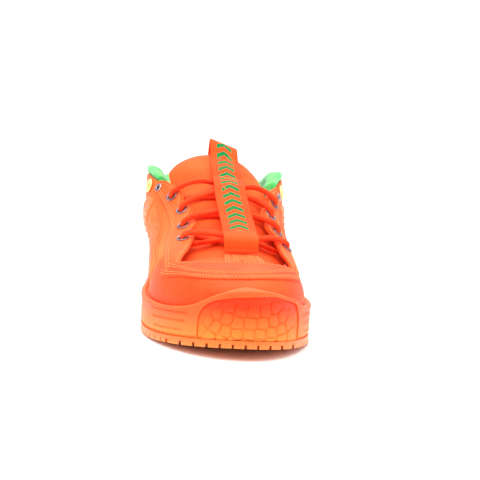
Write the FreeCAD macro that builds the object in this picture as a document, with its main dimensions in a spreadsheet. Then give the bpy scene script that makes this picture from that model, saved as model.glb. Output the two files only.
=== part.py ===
# Lace-up cupsole court / skate shoe, right foot, about EU 42 (300 mm outsole).
# Frame: toe along -Y, heel along +Y, lateral side -X, medial side +X, +Z up,
# origin at the middle of the bounding box's underside, where the tread meets the ground.
import FreeCAD, Part
import os
import math
import Sketcher
from FreeCAD import Vector

doc = FreeCAD.newDocument("CourtShoe")

# ----------------------------------------------------------------------------
# Driving dimensions (millimetres)
# ----------------------------------------------------------------------------
SIZES = [
    ("shoe_length", 300.0, "outsole length, toe tip to heel"),
    ("ball_width", 108.5, "outsole width across the ball"),
    ("heel_width", 84.0, "outsole width across the heel"),
    ("tread_height", 5.0, "outsole plate thickness"),
    ("cup_floor", 3.6, "floor of the rubber cup"),
    ("lip_height", 28.5, "sidewall lip above ground"),
    ("toe_lip", 44.0, "toe bumper lip above ground"),
    ("toe_spring", 8.0, "rise of the sole at the toe tip"),
    ("bumper_depth", 2.0, "thickness of the toe bumper pad"),
    ("heel_foam", 12.0, "midsole foam under the heel"),
    ("fore_foam", 5.0, "midsole foam under the ball"),
    ("board_gauge", 1.8, "strobel board thickness"),
    ("liner_heel", 5.0, "sockliner at the heel"),
    ("liner_fore", 3.6, "sockliner at the forefoot"),
    ("skin_gauge", 1.6, "upper material thickness"),
    ("overlay_gauge", 1.2, "eyestay and heel overlay thickness"),
    ("lining_gauge", 1.0, "lining thickness"),
    ("puff_gauge", 0.8, "toe puff thickness"),
    ("counter_gauge", 1.4, "heel counter thickness"),
    ("pad_gauge", 6.6, "collar padding thickness"),
    ("tongue_gauge", 6.0, "tongue thickness"),
    ("eyelet_bore", 5.4, "eyelet ring inner diameter"),
    ("eyelet_barrel", 6.2, "eyelet ring barrel diameter"),
    ("eyelet_flange", 8.8, "eyelet ring flange diameter"),
    ("vent_bore", 4.0, "collar grommet bore"),
    ("vent_flange", 9.5, "collar grommet flange diameter"),
    ("lace_gauge", 3.7, "lace diameter"),
    ("webbing_width", 23.5, "pull strap webbing width"),
    ("webbing_gauge", 1.2, "pull strap webbing thickness"),
    ("lug_pitch", 8.0, "pitch of the tread lugs"),
    ("lug_groove", 1.5, "width of the tread grooves"),
    ("lug_depth", 2.4, "depth of the tread grooves"),
]
sheet = doc.addObject("Spreadsheet::Sheet", "Sizes")
for row, (alias, value, note) in enumerate(SIZES, start=1):
    sheet.set("A%d" % row, alias.replace("_", " "))
    sheet.set("B%d" % row, str(value))
    sheet.set("C%d" % row, note)
    sheet.setAlias("B%d" % row, alias)
doc.recompute()


def size(name):
    return float(sheet.get(name))


# ----------------------------------------------------------------------------
# The last: an implicit surface for the outside of the upper
# ----------------------------------------------------------------------------
def tab(table, x):
    """Smooth (cubic Hermite) interpolation in a table of (x, value) pairs."""
    n = len(table)
    if x <= table[0][0]:
        return table[0][1]
    if x >= table[-1][0]:
        return table[-1][1]
    i = 0
    while x > table[i + 1][0]:
        i += 1

    def slope(k):
        if k == 0:
            return (table[1][1] - table[0][1]) / (table[1][0] - table[0][0])
        if k == n - 1:
            return (table[-1][1] - table[-2][1]) / (table[-1][0] - table[-2][0])
        h0 = table[k][0] - table[k - 1][0]
        h1 = table[k + 1][0] - table[k][0]
        d0 = (table[k][1] - table[k - 1][1]) / h0
        d1 = (table[k + 1][1] - table[k][1]) / h1
        return (d0 * h1 + d1 * h0) / (h0 + h1)

    h = table[i + 1][0] - table[i][0]
    t = (x - table[i][0]) / h
    m0 = slope(i) * h
    m1 = slope(i + 1) * h
    t2 = t * t
    t3 = t2 * t
    return (2 * t3 - 3 * t2 + 1) * table[i][1] + (t3 - 2 * t2 + t) * m0 + (-2 * t3 + 3 * t2) * table[i + 1][1] + (t3 - t2) * m1


def clamp(x, a, b):
    return a if x < a else (b if x > b else x)


def sstep(x):
    x = clamp(x, 0.0, 1.0)
    return x * x * (3 - 2 * x)


# centre line (x against y), side walls (x against y) at heights 28, 60 and 92
CL = [(-150, 8.5), (-110, 8.5), (-70, 8.0), (-52, 6.6), (-35, 4.2), (-18, 1.6), (0, 0.2), (12, -1.5), (25, -3.6), (45, -4.0), (110, -3.0), (150, -2.5)]
XL30 = [(-150, -42), (-110, -47), (-75, -50), (-45, -49), (-10, -45), (20, -42.5), (60, -42), (100, -42.5), (150, -42)]
XL60 = [(-150, -42), (-90, -44), (-60, -46), (-30, -47), (0, -49), (20, -51.5), (45, -50), (80, -44), (120, -41), (150, -40)]
XL90 = [(-60, -44), (-20, -46), (0, -49), (20, -53), (36, -52.5), (58, -49), (80, -44), (105, -39), (150, -35)]
XM30 = [(-150, 50), (-110, 50.5), (-75, 50), (-45, 46), (-10, 41), (20, 38.5), (60, 37.5), (100, 37.5), (150, 37)]
XM60 = [(-150, 44), (-90, 42.5), (-60, 42), (-30, 41.5), (0, 41.5), (20, 43), (50, 41), (80, 38), (120, 36.5), (150, 35)]
XM90 = [(-60, 40), (-20, 40.5), (0, 42), (20, 44), (36, 44.5), (58, 41), (80, 37), (105, 33), (150, 29)]
# front and back profile (y against z) and the lengths over which the plan rounds off
FRONT = [(10, -141), (24, -144), (36, -143), (43, -140), (47, -134), (51, -122), (56, -96), (61, -70), (68, -47), (80, -22), (92, -2), (99, 12), (105, 28), (111, 46), (120, 64), (200, 140)]
BACK = [(10, 140), (24, 143), (40, 145), (56, 144.5), (70, 141), (84, 137.5), (98, 137), (112, 140), (140, 148)]
RF = [(14, 78), (40, 82), (50, 92), (60, 92), (75, 84), (95, 66), (115, 56), (140, 50)]
RB = [(10, 48), (50, 47), (100, 44), (140, 44)]


def e2(t, k=2.0):
    if t >= 1:
        return 1.0
    if t < 0:
        return k * t
    return 1 - (1 - t) ** k


def wside(y, z, lat):
    a, b, c = (XL30, XL60, XL90) if lat else (XM30, XM60, XM90)
    if z < 60:
        lo = tab(a, y)
        v = lo + (tab(b, y) - lo) * sstep((z - 28) / 32.0)
    else:
        mi = tab(b, y)
        v = mi + (tab(c, y) - mi) * sstep((z - 60) / 32.0)
    return abs(v - tab(CL, y))


def phi(x, y, z):
    """Negative inside the upper's outer surface, positive outside it."""
    c = tab(CL, y)
    w = wside(y, z, x < c)
    a = e2((y - tab(FRONT, z)) / tab(RF, z), 2.3)
    b = e2((tab(BACK, z) - y) / tab(RB, z), 2.3)
    if a < 0 or b < 0:
        return (x - c) ** 2 - w * w * min(a, b)
    return (x - c) ** 2 - w * w * a * b


def spine(y):
    yc = clamp(y, -88, 92)
    return (tab(CL, yc), yc, 36.0)


def project(p):
    """Move a point along its ray from the spine onto the upper's surface."""
    s = spine(p[1])
    d = [p[i] - s[i] for i in range(3)]
    length = math.sqrt(sum(v * v for v in d))
    d = [v / length for v in d]
    lo, hi = 2.0, 230.0
    for _ in range(34):
        m = 0.5 * (lo + hi)
        if phi(s[0] + d[0] * m, s[1] + d[1] * m, s[2] + d[2] * m) < 0:
            lo = m
        else:
            hi = m
    return tuple(s[i] + d[i] * lo for i in range(3))


def on_top(x, y):
    """Point of the instep surface straight above plan position x, y."""
    lo, hi = 40.0, 118.0
    for _ in range(34):
        m = 0.5 * (lo + hi)
        if phi(x, y, m) < 0:
            lo = m
        else:
            hi = m
    return (x, y, lo)


def normal(p):
    e = 0.4
    g = []
    for i in range(3):
        q = list(p)
        r = list(p)
        q[i] += e
        r[i] -= e
        g.append(phi(*q) - phi(*r))
    n = math.sqrt(sum(v * v for v in g))
    return [v / n for v in g]


def lift(p, off):
    n = normal(p)
    return (p[0] + n[0] * off, p[1] + n[1] * off, p[2] + n[2] * off)


def knots(rows, s):
    """Smooth curve through a list of knots, s from 0 to 1."""
    k = s * (len(rows) - 1)
    return tuple(tab([(i, r[c]) for i, r in enumerate(rows)], k) for c in range(len(rows[0])))


# ----------------------------------------------------------------------------
# Sole plan outline and side profiles
# ----------------------------------------------------------------------------
LEN2 = size("shoe_length") / 2.0
BALL_K = size("ball_width") / 108.5
HEEL_K = size("heel_width") / 84.0
SXL = [(-150, -45 * BALL_K), (-110, -50.5 * BALL_K), (-75, -54 * BALL_K), (-50, -54 * BALL_K), (-20, -50.5 * BALL_K), (10, -47), (40, -45), (70, -44 * HEEL_K), (100, -44 * HEEL_K), (150, -43.5 * HEEL_K)]
SXM = [(-150, 52 * BALL_K), (-110, 54 * BALL_K), (-80, 54.8 * BALL_K), (-50, 51 * BALL_K), (-20, 45 * BALL_K), (10, 42), (40, 40.5), (70, 40 * HEEL_K), (100, 40 * HEEL_K), (150, 40 * HEEL_K)]
SC = [(-150, 8), (-110, 5), (-60, 1), (-20, -1.5), (60, -2), (150, -2)]


def spring(y):
    t = clamp((-y - 62) / 88.0, 0, 1.2)
    return size("toe_spring") * t * t


def sole_point(t, inset=0.0):
    y = (LEN2 - inset) * math.cos(2 * math.pi * t)
    lat = t < 0.5
    c = tab(SC, y)
    w = abs(tab(SXL if lat else SXM, y) - c) - inset
    a = e2((y + LEN2 - inset) / 84.0, 2.15)
    b = e2((LEN2 - inset - y) / 46.0, 2.3)
    w *= math.sqrt(max(a, 0) * max(b, 0))
    return (c - w if lat else c + w, y)


def outline(n, inset=0.0):
    """Evenly walked outline of the sole, as 2-D points."""
    dense = [sole_point(i / 720.0, inset) for i in range(720)]
    dense.append(dense[0])
    run = [0.0]
    for a, b in zip(dense, dense[1:]):
        run.append(run[-1] + math.hypot(b[0] - a[0], b[1] - a[1]))
    out = []
    j = 0
    for k in range(n):
        goal = run[-1] * k / n
        while run[j + 1] < goal:
            j += 1
        f = (goal - run[j]) / (run[j + 1] - run[j])
        out.append((dense[j][0] + f * (dense[j + 1][0] - dense[j][0]), dense[j][1] + f * (dense[j + 1][1] - dense[j][1])))
    return out


def plane(body, role):
    for f in body.Origin.OriginFeatures:
        if f.Role == role:
            return f
    raise RuntimeError(role)


def outline_body(name, inset, height_expr, z0=-2.0):
    """A pad of the sole's outline, from z0 upwards."""
    body = doc.addObject("PartDesign::Body", name)
    sk = body.newObject("Sketcher::SketchObject", name + "_outline")
    sk.AttachmentSupport = (plane(body, "XY_Plane"), [""])
    sk.MapMode = "FlatFace"
    sk.AttachmentOffset = FreeCAD.Placement(Vector(0, 0, z0), FreeCAD.Rotation())
    bs = Part.BSplineCurve()
    bs.interpolate(Points=[Vector(x, y, 0) for x, y in outline(64, inset)], PeriodicFlag=True)
    sk.addGeometry(bs, False)
    doc.recompute()
    pad = body.newObject("PartDesign::Pad", name + "_pad")
    pad.Profile = sk
    pad.setExpression("Length", height_expr)
    body.Tip = pad
    doc.recompute()
    return body


def band_body(name, lower, upper, y0=-170.0, y1=170.0, step=10.0):
    """A wide pad, symmetric about the YZ plane, between two side profiles."""
    body = doc.addObject("PartDesign::Body", name)
    sk = body.newObject("Sketcher::SketchObject", name + "_profile")
    sk.AttachmentSupport = (plane(body, "YZ_Plane"), [""])
    sk.MapMode = "FlatFace"
    n = int((y1 - y0) / step)
    ys = [y0 + (y1 - y0) * i / n for i in range(n + 1)]
    lo = Part.BSplineCurve()
    lo.interpolate(Points=[Vector(y, lower(y), 0) for y in ys])
    hi = Part.BSplineCurve()
    hi.interpolate(Points=[Vector(y, upper(y), 0) for y in ys])
    sk.addGeometry(lo, False)
    sk.addGeometry(hi, False)
    sk.addGeometry(Part.LineSegment(Vector(y0, lower(y0), 0), Vector(y0, upper(y0), 0)), False)
    sk.addGeometry(Part.LineSegment(Vector(y1, lower(y1), 0), Vector(y1, upper(y1), 0)), False)
    doc.recompute()
    pad = body.newObject("PartDesign::Pad", name + "_pad")
    pad.Profile = sk
    pad.Length = 160.0
    if hasattr(pad, "SideType"):
        pad.SideType = "Symmetric"
    else:
        pad.Midplane = True
    body.Tip = pad
    doc.recompute()
    return body


def feature(name, shape):
    f = doc.addObject("Part::Feature", name)
    f.Shape = shape
    f.Placement = FreeCAD.Placement()
    return f


def boolean(kind, name, base, tool):
    f = doc.addObject("Part::" + kind, name)
    f.Base = base
    f.Tool = tool
    doc.recompute()
    return f


def last_outline(z, off, n=60):
    """Plan section of the last at height z, moved outwards by off."""
    pts = []
    for k in range(n):
        th = 2 * math.pi * k / n
        # rays from a long stretched centre so that the points spread evenly
        y0 = clamp(118 * math.cos(th), -96, 100)
        c = tab(CL, y0)
        dx, dy = -math.sin(th), math.cos(th)
        lo, hi = 0.0, 160.0
        for _ in range(34):
            m = 0.5 * (lo + hi)
            if phi(c + dx * m, y0 + dy * m, z) < 0:
                lo = m
            else:
                hi = m
        pts.append((c + dx * lo, y0 + dy * lo))
    out = []
    for k in range(n):
        a = pts[k - 1]
        b = pts[(k + 1) % n]
        tx, ty = b[0] - a[0], b[1] - a[1]
        m = math.hypot(tx, ty)
        # outward normal of an anticlockwise walk
        out.append((pts[k][0] + ty / m * off, pts[k][1] - tx / m * off))
    area = sum(out[k - 1][0] * out[k][1] - out[k][0] * out[k - 1][1] for k in range(n))
    if area < 0:
        out = []
        for k in range(n):
            a = pts[k - 1]
            b = pts[(k + 1) % n]
            tx, ty = b[0] - a[0], b[1] - a[1]
            m = math.hypot(tx, ty)
            out.append((pts[k][0] - ty / m * off, pts[k][1] + tx / m * off))
    return out


def last_loft(off, levels):
    wires = []
    for z in levels:
        bs = Part.BSplineCurve()
        bs.interpolate(Points=[Vector(x, y, z) for x, y in last_outline(z, off)], PeriodicFlag=True)
        wires.append(Part.Wire([bs.toShape()]))
    return Part.makeLoft(wires, True, False)


TREAD = size("tread_height")
FLOOR = TREAD + size("cup_floor") + 0.1


def floor_top(y):
    return FLOOR + spring(y)


def foam_top(y):
    t = sstep((y + 70.0) / 150.0)
    return floor_top(y) + 0.05 + size("fore_foam") + (size("heel_foam") - size("fore_foam")) * t


def board_top(y):
    return foam_top(y) + 0.1 + size("board_gauge")


def liner_top(y):
    t = sstep((y + 70.0) / 150.0)
    return board_top(y) + 0.1 + size("liner_fore") + (size("liner_heel") - size("liner_fore")) * t


LIP = [(-150, 44.0), (-143, 42.5), (-136, 38.5), (-129, 33.0), (-122, 29.3), (-114, 28.5), (-60, 28.5), (-10, 27.5), (40, 28.0), (100, 30.5), (150, 32.0)]


def lip(y):
    z = tab(LIP, y)
    base = size("lip_height")
    if z > 28.5 and y < -100:
        return base + (z - 28.5) * (size("toe_lip") - base) / 15.5
    return z + base - 28.5


# outsole: a tread plate that follows the toe spring, cut into lugs
blank = outline_body("tread_blank", 0.0, "Sizes.tread_height + Sizes.toe_spring + 4")
band = band_body("tread_band", lambda y: spring(y) - 0.03, lambda y: spring(y) + TREAD)
plate_blank = boolean("Common", "tread_plate_blank", blank, band)
# the ground plane trims the underside truly flat behind the toe spring
ground = feature("ground_trim", Part.makeBox(160.0, 400.0, 20.0, Vector(-80.0, -200.0, -20.0)))
plate = boolean("Cut", "tread_plate", plate_blank, ground)
cutters = []
pitch = size("lug_pitch")
gw = size("lug_groove")
gd = size("lug_depth")
y = -110.0
while y < 140.0:
    cutters.append(Part.makeBox(140, gw, gd + 1.0, Vector(-70, y, spring(y) - 1.0)))
    y += pitch
k = -6
while k <= 6:
    x = 8.0 + k * pitch
    y0, y1 = -156.0, -113.0
    ys = [y0 + (y1 - y0) * i / 10.0 for i in range(11)]
    poly = [Vector(x - gw / 2, yy, spring(yy) - 2.0) for yy in ys] + [Vector(x - gw / 2, yy, spring(yy) + gd) for yy in reversed(ys)]
    poly.append(poly[0])
    cutters.append(Part.Face(Part.makePolygon(poly)).extrude(Vector(gw, 0, 0)))
    k += 1
tread_cut = feature("tread_grooves", Part.makeCompound(cutters))
outsole = boolean("Cut", "outsole", plate, tread_cut)

# cupsole: sidewall and floor in one moulding, hollow for the upper
cup_blank = outline_body("cup_blank", 0.0, "Sizes.toe_lip + 8")
cup_band = band_body("cup_band", lambda y: spring(y) + TREAD + 0.05, lip, step=4.0)
cup_solid = boolean("Common", "cup_solid", cup_blank, cup_band)
cavity_loft = feature("cavity_loft", last_loft(0.6, [6.0, 14.0, 22.0, 30.0, 38.0, 44.0, 48.0]))
cavity_band = band_body("cavity_band", floor_top, lambda y: 60.0)
cavity = boolean("Common", "cavity", cavity_loft, cavity_band)
cup_open = boolean("Cut", "cup_open", cup_solid, cavity)

# toe bumper: a pad set into the front of the cup
inner_blank = outline_body("bumper_core", size("bumper_depth"), "Sizes.toe_lip + 12", z0=-4.0)


def window(grow):
    pts = [(-38, 3), (-36, 26.5), (-29, 33), (-12, 41.5), (8, 44.5), (28, 41.5), (41, 33), (46, 26.5), (48, 3)]
    cx, cz = 6.0, 22.0
    pts = [(x + grow * (1 if x > cx else -1), z + (grow if z > 20 else -grow)) for x, z in pts]
    poly = [Vector(x, -165, z) for x, z in pts]
    poly.append(poly[0])
    return Part.Face(Part.makePolygon(poly)).extrude(Vector(0, 165 - 96, 0))


ring = boolean("Cut", "bumper_ring", cup_solid, inner_blank)
win_a = feature("bumper_window", window(0.0))
win_b = feature("bumper_recess", window(0.12))
toe_bumper = boolean("Common", "toe_bumper", ring, win_a)
recess_core = outline_body("recess_core", size("bumper_depth") + 0.12, "Sizes.toe_lip + 12", z0=-4.0)
recess_ring = boolean("Cut", "recess_ring", cup_blank, recess_core)
recess = boolean("Common", "recess", recess_ring, win_b)
cupsole = boolean("Cut", "cupsole", cup_open, recess)

# midsole foam, strobel board and sockliner, stacked in the cup
foam_loft = feature("foam_loft", last_loft(-0.1, [6.0, 14.0, 22.0, 30.0, 38.0, 44.0]))
foam_band = band_body("foam_band", lambda y: floor_top(y) + 0.05, foam_top)
midsole = boolean("Common", "midsole", foam_loft, foam_band)
board_loft = feature("board_loft", last_loft(-4.7, [6.0, 14.0, 22.0, 30.0, 38.0, 44.0]))
board_band = band_body("board_band", lambda y: foam_top(y) + 0.1, board_top)
strobel = boolean("Common", "strobel_board", board_loft, board_band)
liner_loft = feature("liner_loft", last_loft(-6.6, [6.0, 14.0, 22.0, 30.0, 38.0, 44.0]))
liner_band = band_body("liner_band", lambda y: board_top(y) + 0.1, liner_top)
sockliner = boolean("Common", "sockliner", liner_loft, liner_band)


# ----------------------------------------------------------------------------
# Upper: panels that lie on the last in layers
# ----------------------------------------------------------------------------
def surface(points):
    bs = Part.BSplineSurface()
    bs.interpolate([[Vector(*p) for p in row] for row in points])
    flat = 0.0
    for r, q in zip(points, points[1:]):
        for i in range(len(r) - 1):
            a, b, c, d = Vector(*r[i]), Vector(*r[i + 1]), Vector(*q[i + 1]), Vector(*q[i])
            flat += 0.5 * ((b - a).cross(c - a).Length + (c - a).cross(d - a).Length)
    ratio = bs.toShape().Area / flat
    if abs(ratio - 1.0) > 0.02:
        print("  surface area ratio %.3f" % ratio)
    return bs


def border(bs, which):
    u0, u1, v0, v1 = bs.bounds()
    if which == "u0":
        return bs.uIso(u0)
    if which == "u1":
        return bs.uIso(u1)
    if which == "v0":
        return bs.vIso(v0)
    return bs.vIso(v1)


def skin(outer, inner):
    """Closed solid between two point grids of the same layout."""
    so = surface(outer)
    si = surface(inner)
    faces = [so.toShape(), si.toShape()]
    for which in ("u0", "u1", "v0", "v1"):
        straight = Part.makeRuledSurface(border(so, which).toShape(), border(si, which).toShape())
        back = border(si, which)
        back.reverse()
        turned = Part.makeRuledSurface(border(so, which).toShape(), back.toShape())
        faces.append(straight if straight.Area <= turned.Area else turned)
    shell = Part.Shell(faces)
    shell.sewShape()
    solid = Part.Solid(shell)
    if solid.Volume < 0:
        solid.reverse()
    return solid


def spread(points, n):
    """n points evenly spaced along a polyline."""
    run = [0.0]
    for a, b in zip(points, points[1:]):
        run.append(run[-1] + math.sqrt(sum((b[c] - a[c]) ** 2 for c in range(len(a)))))
    out = []
    j = 0
    for k in range(n):
        goal = run[-1] * k / (n - 1.0)
        while j < len(run) - 2 and run[j + 1] < goal:
            j += 1
        f = (goal - run[j]) / max(run[j + 1] - run[j], 1e-9)
        out.append(tuple(points[j][c] + f * (points[j + 1][c] - points[j][c]) for c in range(len(points[j]))))
    return out


def even_stations(low, high, ns, s0, s1):
    """Values of s that step evenly along the middle of the panel."""
    n = 96
    mids = []
    for i in range(n + 1):
        s = s0 + (s1 - s0) * i / float(n)
        a = knots(low, s)
        b = knots(high, s)
        mids.append((0.5 * (a[0] + b[0]), 0.5 * (a[1] + b[1]), 0.5 * (a[2] + b[2]), s * 0.001))
    return [q[3] * 1000.0 for q in spread(mids, ns)]


def panel(low, high, off_in, off_out, ns=25, nh=9, s0=0.0, s1=1.0, h0=0.0, h1=1.0):
    """Skin between the knot curves low and high, offset from the last by off_in and off_out."""
    outer, inner = [], []
    for s in even_stations(low, high, ns, s0, s1):
        a = knots(low, s)
        b = knots(high, s)
        m = 4 * nh
        walk = []
        for j in range(m + 1):
            h = h0 + (h1 - h0) * j / float(m)
            walk.append(project(tuple(a[c] + (b[c] - a[c]) * h for c in range(3))))
        ro, ri = [], []
        for p in spread(walk, nh):
            n = normal(p)
            ro.append(tuple(p[c] + n[c] * off_out for c in range(3)))
            ri.append(tuple(p[c] + n[c] * off_in for c in range(3)))
        outer.append(ro)
        inner.append(ri)
    return skin(outer, inner)


def seat(x, y):
    """Point where the upper's edge meets the board, at plan position x, y."""
    return (x, y, foam_top(y) + 0.9)


SK = size("skin_gauge")
OV = size("overlay_gauge")
LG = size("lining_gauge")
PG = size("puff_gauge")
CG = size("counter_gauge")
PAD = size("pad_gauge")

VAMP_LOW = [seat(-48.5, -70.6), seat(-47.5, -90), seat(-43, -112), seat(-30, -132), seat(8, -143), seat(40, -133), seat(48.5, -113), seat(50.5, -90), seat(49.7, -70.6)]
VAMP_HIGH = [(-25, -72.6, 56), (-32, -89, 50), (-22, -93, 53), (-8, -95, 55), (8, -96, 55.5), (22, -95, 55), (34, -92.5, 53), (42.5, -89, 49.5), (37, -72.6, 56)]
QL_LOW = [seat(-48.5, -70), seat(-49, -45), seat(-47, -20), seat(-44.5, 0), seat(-43, 18), seat(-42.3, 35), seat(-42, 58), seat(-42, 82), seat(-41, 105), seat(-34, 127), seat(-18, 141), seat(-3.1, 144)]
QL_HIGH = [(-25, -72, 56), (-19.5, -50, 61), (-20.5, -24, 72), (-29, -1, 81), (-42, 13, 84.5), (-52, 30, 90), (-49, 54, 83), (-44, 80, 72.5), (-41, 102, 68.5), (-31, 125, 69), (-16, 136, 75), (-3.1, 138, 78)]
QM_LOW = [seat(49.7, -70), seat(46.5, -45), seat(42.5, -20), seat(40, 0), seat(38.7, 18), seat(38, 35), seat(37.5, 58), seat(37.5, 82), seat(36.5, 105), seat(30, 127), seat(13, 141), seat(-2.5, 144)]
QM_HIGH = [(37, -72, 56), (31.5, -50, 61), (24.5, -24, 72), (29.5, -1, 81), (36.5, 13, 84.5), (44, 30, 90), (42, 54, 83), (38, 80, 72.5), (35.5, 102, 68.5), (26, 125, 69), (11, 136, 75), (-2.5, 138, 78)]

vamp = feature("vamp", panel(VAMP_LOW, VAMP_HIGH, -SK, 0.0, ns=41, nh=13))
toe_puff = feature("toe_puff", panel(VAMP_LOW, VAMP_HIGH, -SK - 0.6 - PG, -SK - 0.6, ns=41, nh=9, s0=0.2, s1=0.82, h0=0.04, h1=0.66))
vamp_lining = feature("vamp_lining", panel(VAMP_LOW, VAMP_HIGH, -SK - PG - 2.1 - LG, -SK - PG - 2.1, ns=41, nh=11, s0=0.02, s1=0.98, h0=0.07, h1=0.95))
quarter_l0 = panel(QL_LOW, QL_HIGH, -SK, 0.0, ns=49, nh=15)
quarter_m0 = panel(QM_LOW, QM_HIGH, -SK, 0.0, ns=49, nh=15)

# eyelet positions, four a side, top row first
EYE_L = [(-33.4, -3.5, 77), (-27.8, -21, 71), (-26.6, -39, 63), (-27.2, -58, 57.5)]
EYE_M = [(34.7, -1, 77.7), (30.3, -18.5, 70.5), (33.6, -36, 62), (38.0, -55, 55)]
RING_L = (-43.0, 11.5, 82.0)
RING_M = (40.0, 11.5, 82.0)
VENT_L = (-50.5, 25, 82.5)
VENT_M = (43.0, 25, 82.5)
eye_l = [project(p) for p in EYE_L]
eye_m = [project(p) for p in EYE_M]
ring_l, ring_m, vent_l, vent_m = [project(p) for p in (RING_L, RING_M, VENT_L, VENT_M)]


def drill(p, diameter, depth_in=12.0, depth_out=8.0):
    n = Vector(*normal(p))
    return Part.makeCylinder(diameter / 2.0, depth_in + depth_out, Vector(*p) - n * depth_in, n)


BARREL = size("eyelet_barrel") + 0.2
drill_l = Part.makeCompound([drill(p, BARREL, 3.0, 6.0) for p in eye_l] + [drill(ring_l, 3.8, 3.0, 6.0), drill(vent_l, 5.6, 3.0, 6.0)])
drill_m = Part.makeCompound([drill(p, BARREL, 3.0, 6.0) for p in eye_m] + [drill(ring_m, 3.8, 3.0, 6.0), drill(vent_m, 5.6, 3.0, 6.0)])
quarter_lateral = boolean("Cut", "quarter_lateral", feature("quarter_l_blank", quarter_l0), feature("drill_lateral", drill_l))
quarter_medial = boolean("Cut", "quarter_medial", feature("quarter_m_blank", quarter_m0), feature("drill_medial", drill_m))

LAP = 0.35

# eyestays: overlays along the lacing edge, from the throat corner to the collar
EL_LOW = [(-40, -84, 44), (-39, -70, 47), (-37.5, -50, 52), (-37.5, -30, 58), (-41, -10, 65), (-48, 6, 72), (-52, 17, 77)]
EL_HIGH = [(-30, -85, 51), (-25.5, -72, 56.5), (-20.5, -50, 61.5), (-21, -28, 70.5), (-26.5, -8, 78.5), (-36, 7, 83.5), (-44, 15, 85.5)]
EM_LOW = [(47, -84, 43), (46, -70, 46), (43, -50, 50), (40, -30, 57), (40, -10, 65), (42, 6, 72), (43, 17, 77)]
EM_HIGH = [(40.5, -85, 51), (37, -72, 56.5), (32.5, -50, 61), (26, -28, 70), (28.5, -8, 78.5), (33.5, 7, 83.5), (38, 15, 85.5)]
eyestay_l0 = feature("eyestay_l_blank", panel(EL_LOW, EL_HIGH, LAP, LAP + OV, ns=33, nh=7))
eyestay_m0 = feature("eyestay_m_blank", panel(EM_LOW, EM_HIGH, LAP, LAP + OV, ns=33, nh=7))
eyestay_lateral = boolean("Cut", "eyestay_lateral", eyestay_l0, feature("stay_drill_lateral", drill_l.copy()))
eyestay_medial = boolean("Cut", "eyestay_medial", eyestay_m0, feature("stay_drill_medial", drill_m.copy()))

# side overlays: an inverted V below the collar grommet, with a ribbed panel beneath it
VL_LOW = [(-50, -62, 36), (-51, -42, 36), (-49, -22, 36), (-48, 0, 36), (-47, 20, 36)]
VL_HIGH = [(-46, -48, 50), (-46.5, -32, 58), (-47.5, -16, 64), (-49.5, -3, 70), (-51, 8, 73)]
VM_LOW = [(47, -62, 36), (45, -42, 36), (43, -22, 36), (41, 0, 36), (40, 20, 36)]
VM_HIGH = [(43, -48, 49), (42, -32, 56), (41.5, -16, 63), (42, -3, 70), (43, 8, 73)]
side_overlay_lateral = feature("side_overlay_lateral", panel(VL_LOW, VL_HIGH, LAP, LAP + OV, ns=17, nh=7, s0=0.0, s1=0.55, h0=0.0, h1=0.9))
side_overlay_medial = feature("side_overlay_medial", panel(VM_LOW, VM_HIGH, LAP, LAP + OV, ns=17, nh=7, s0=0.0, s1=0.55, h0=0.0, h1=0.9))
BL_LOW = [(-48, 8, 36), (-47, 24, 36), (-46, 42, 36)]
BL_HIGH = [(-50, 10, 66), (-51, 22, 72), (-50, 38, 70)]
BM_LOW = [(40, 8, 36), (39.5, 24, 36), (39, 42, 36)]
BM_HIGH = [(42, 10, 66), (43, 22, 72), (42.5, 38, 70)]
side_rib_panel_lateral = feature("side_rib_panel_lateral", panel(BL_LOW, BL_HIGH, LAP, LAP + 1.4, ns=9, nh=7))
side_rib_panel_medial = feature("side_rib_panel_medial", panel(BM_LOW, BM_HIGH, LAP, LAP + 1.4, ns=9, nh=7))

# heel: outer overlay, and the stiff counter inside
HO_LOW = [(-41.5, 88, 33.5), (-39, 110, 33.5), (-30, 131, 33.5), (-3, 145, 33.5), (25, 131, 33.5), (34, 110, 33.5), (36.5, 88, 33.5)]
HO_HIGH = [(-42, 96, 58), (-38, 112, 60), (-28, 129, 62.5), (-3, 141, 68), (23, 129, 62.5), (33, 112, 60), (36, 96, 58)]
heel_overlay = feature("heel_overlay", panel(HO_LOW, HO_HIGH, LAP, LAP + OV, ns=33, nh=7))
HC_LOW = [seat(-42, 66), seat(-41.5, 90), seat(-38, 116), seat(-22, 139), seat(-2.8, 144), seat(17, 139), seat(33, 116), seat(36.8, 90), seat(37.5, 66)]
HC_HIGH = [(-43, 74, 41), (-42, 92, 46), (-38, 114, 49), (-20, 136, 54), (-2.8, 142, 56), (15, 136, 54), (33, 114, 49), (36.5, 92, 46), (38, 74, 41)]
heel_counter = feature("heel_counter", panel(HC_LOW, HC_HIGH, -SK - 0.4 - CG, -SK - 0.4, ns=37, nh=9))

# collar: foam padding along the topline and the lining inside it
COL_LOW = [seat(-43.2, 16), seat(-42.3, 35), seat(-42, 58), seat(-42, 82), seat(-41, 105), seat(-34, 127), seat(-18, 141), seat(-2.8, 144), seat(13, 141), seat(30, 127), seat(36.5, 105), seat(37.5, 82), seat(37.5, 58), seat(38, 35), seat(38.7, 16)]
COL_TOP = [(-45, 17, 86.5), (-52.3, 30, 91), (-49, 54, 83), (-44, 80, 72.5), (-41, 102, 68.5), (-31, 125, 69), (-16, 136, 75), (-2.8, 138, 78), (11, 136, 75), (26, 125, 69), (35.5, 102, 68.5), (38, 80, 72.5), (42, 54, 83), (44.3, 30, 91), (39, 17, 86.5)]
RISE = 5.0
COL_HIGH = [(x, y, z + RISE) for x, y, z in COL_TOP]


def pad_depth(drop):
    """Depth of the padding's inner face below the skin, against the drop below the top."""
    return SK + 2.4 + (PAD - 0.9) * (1.0 - sstep((drop - 10.0) / 16.0))


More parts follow.
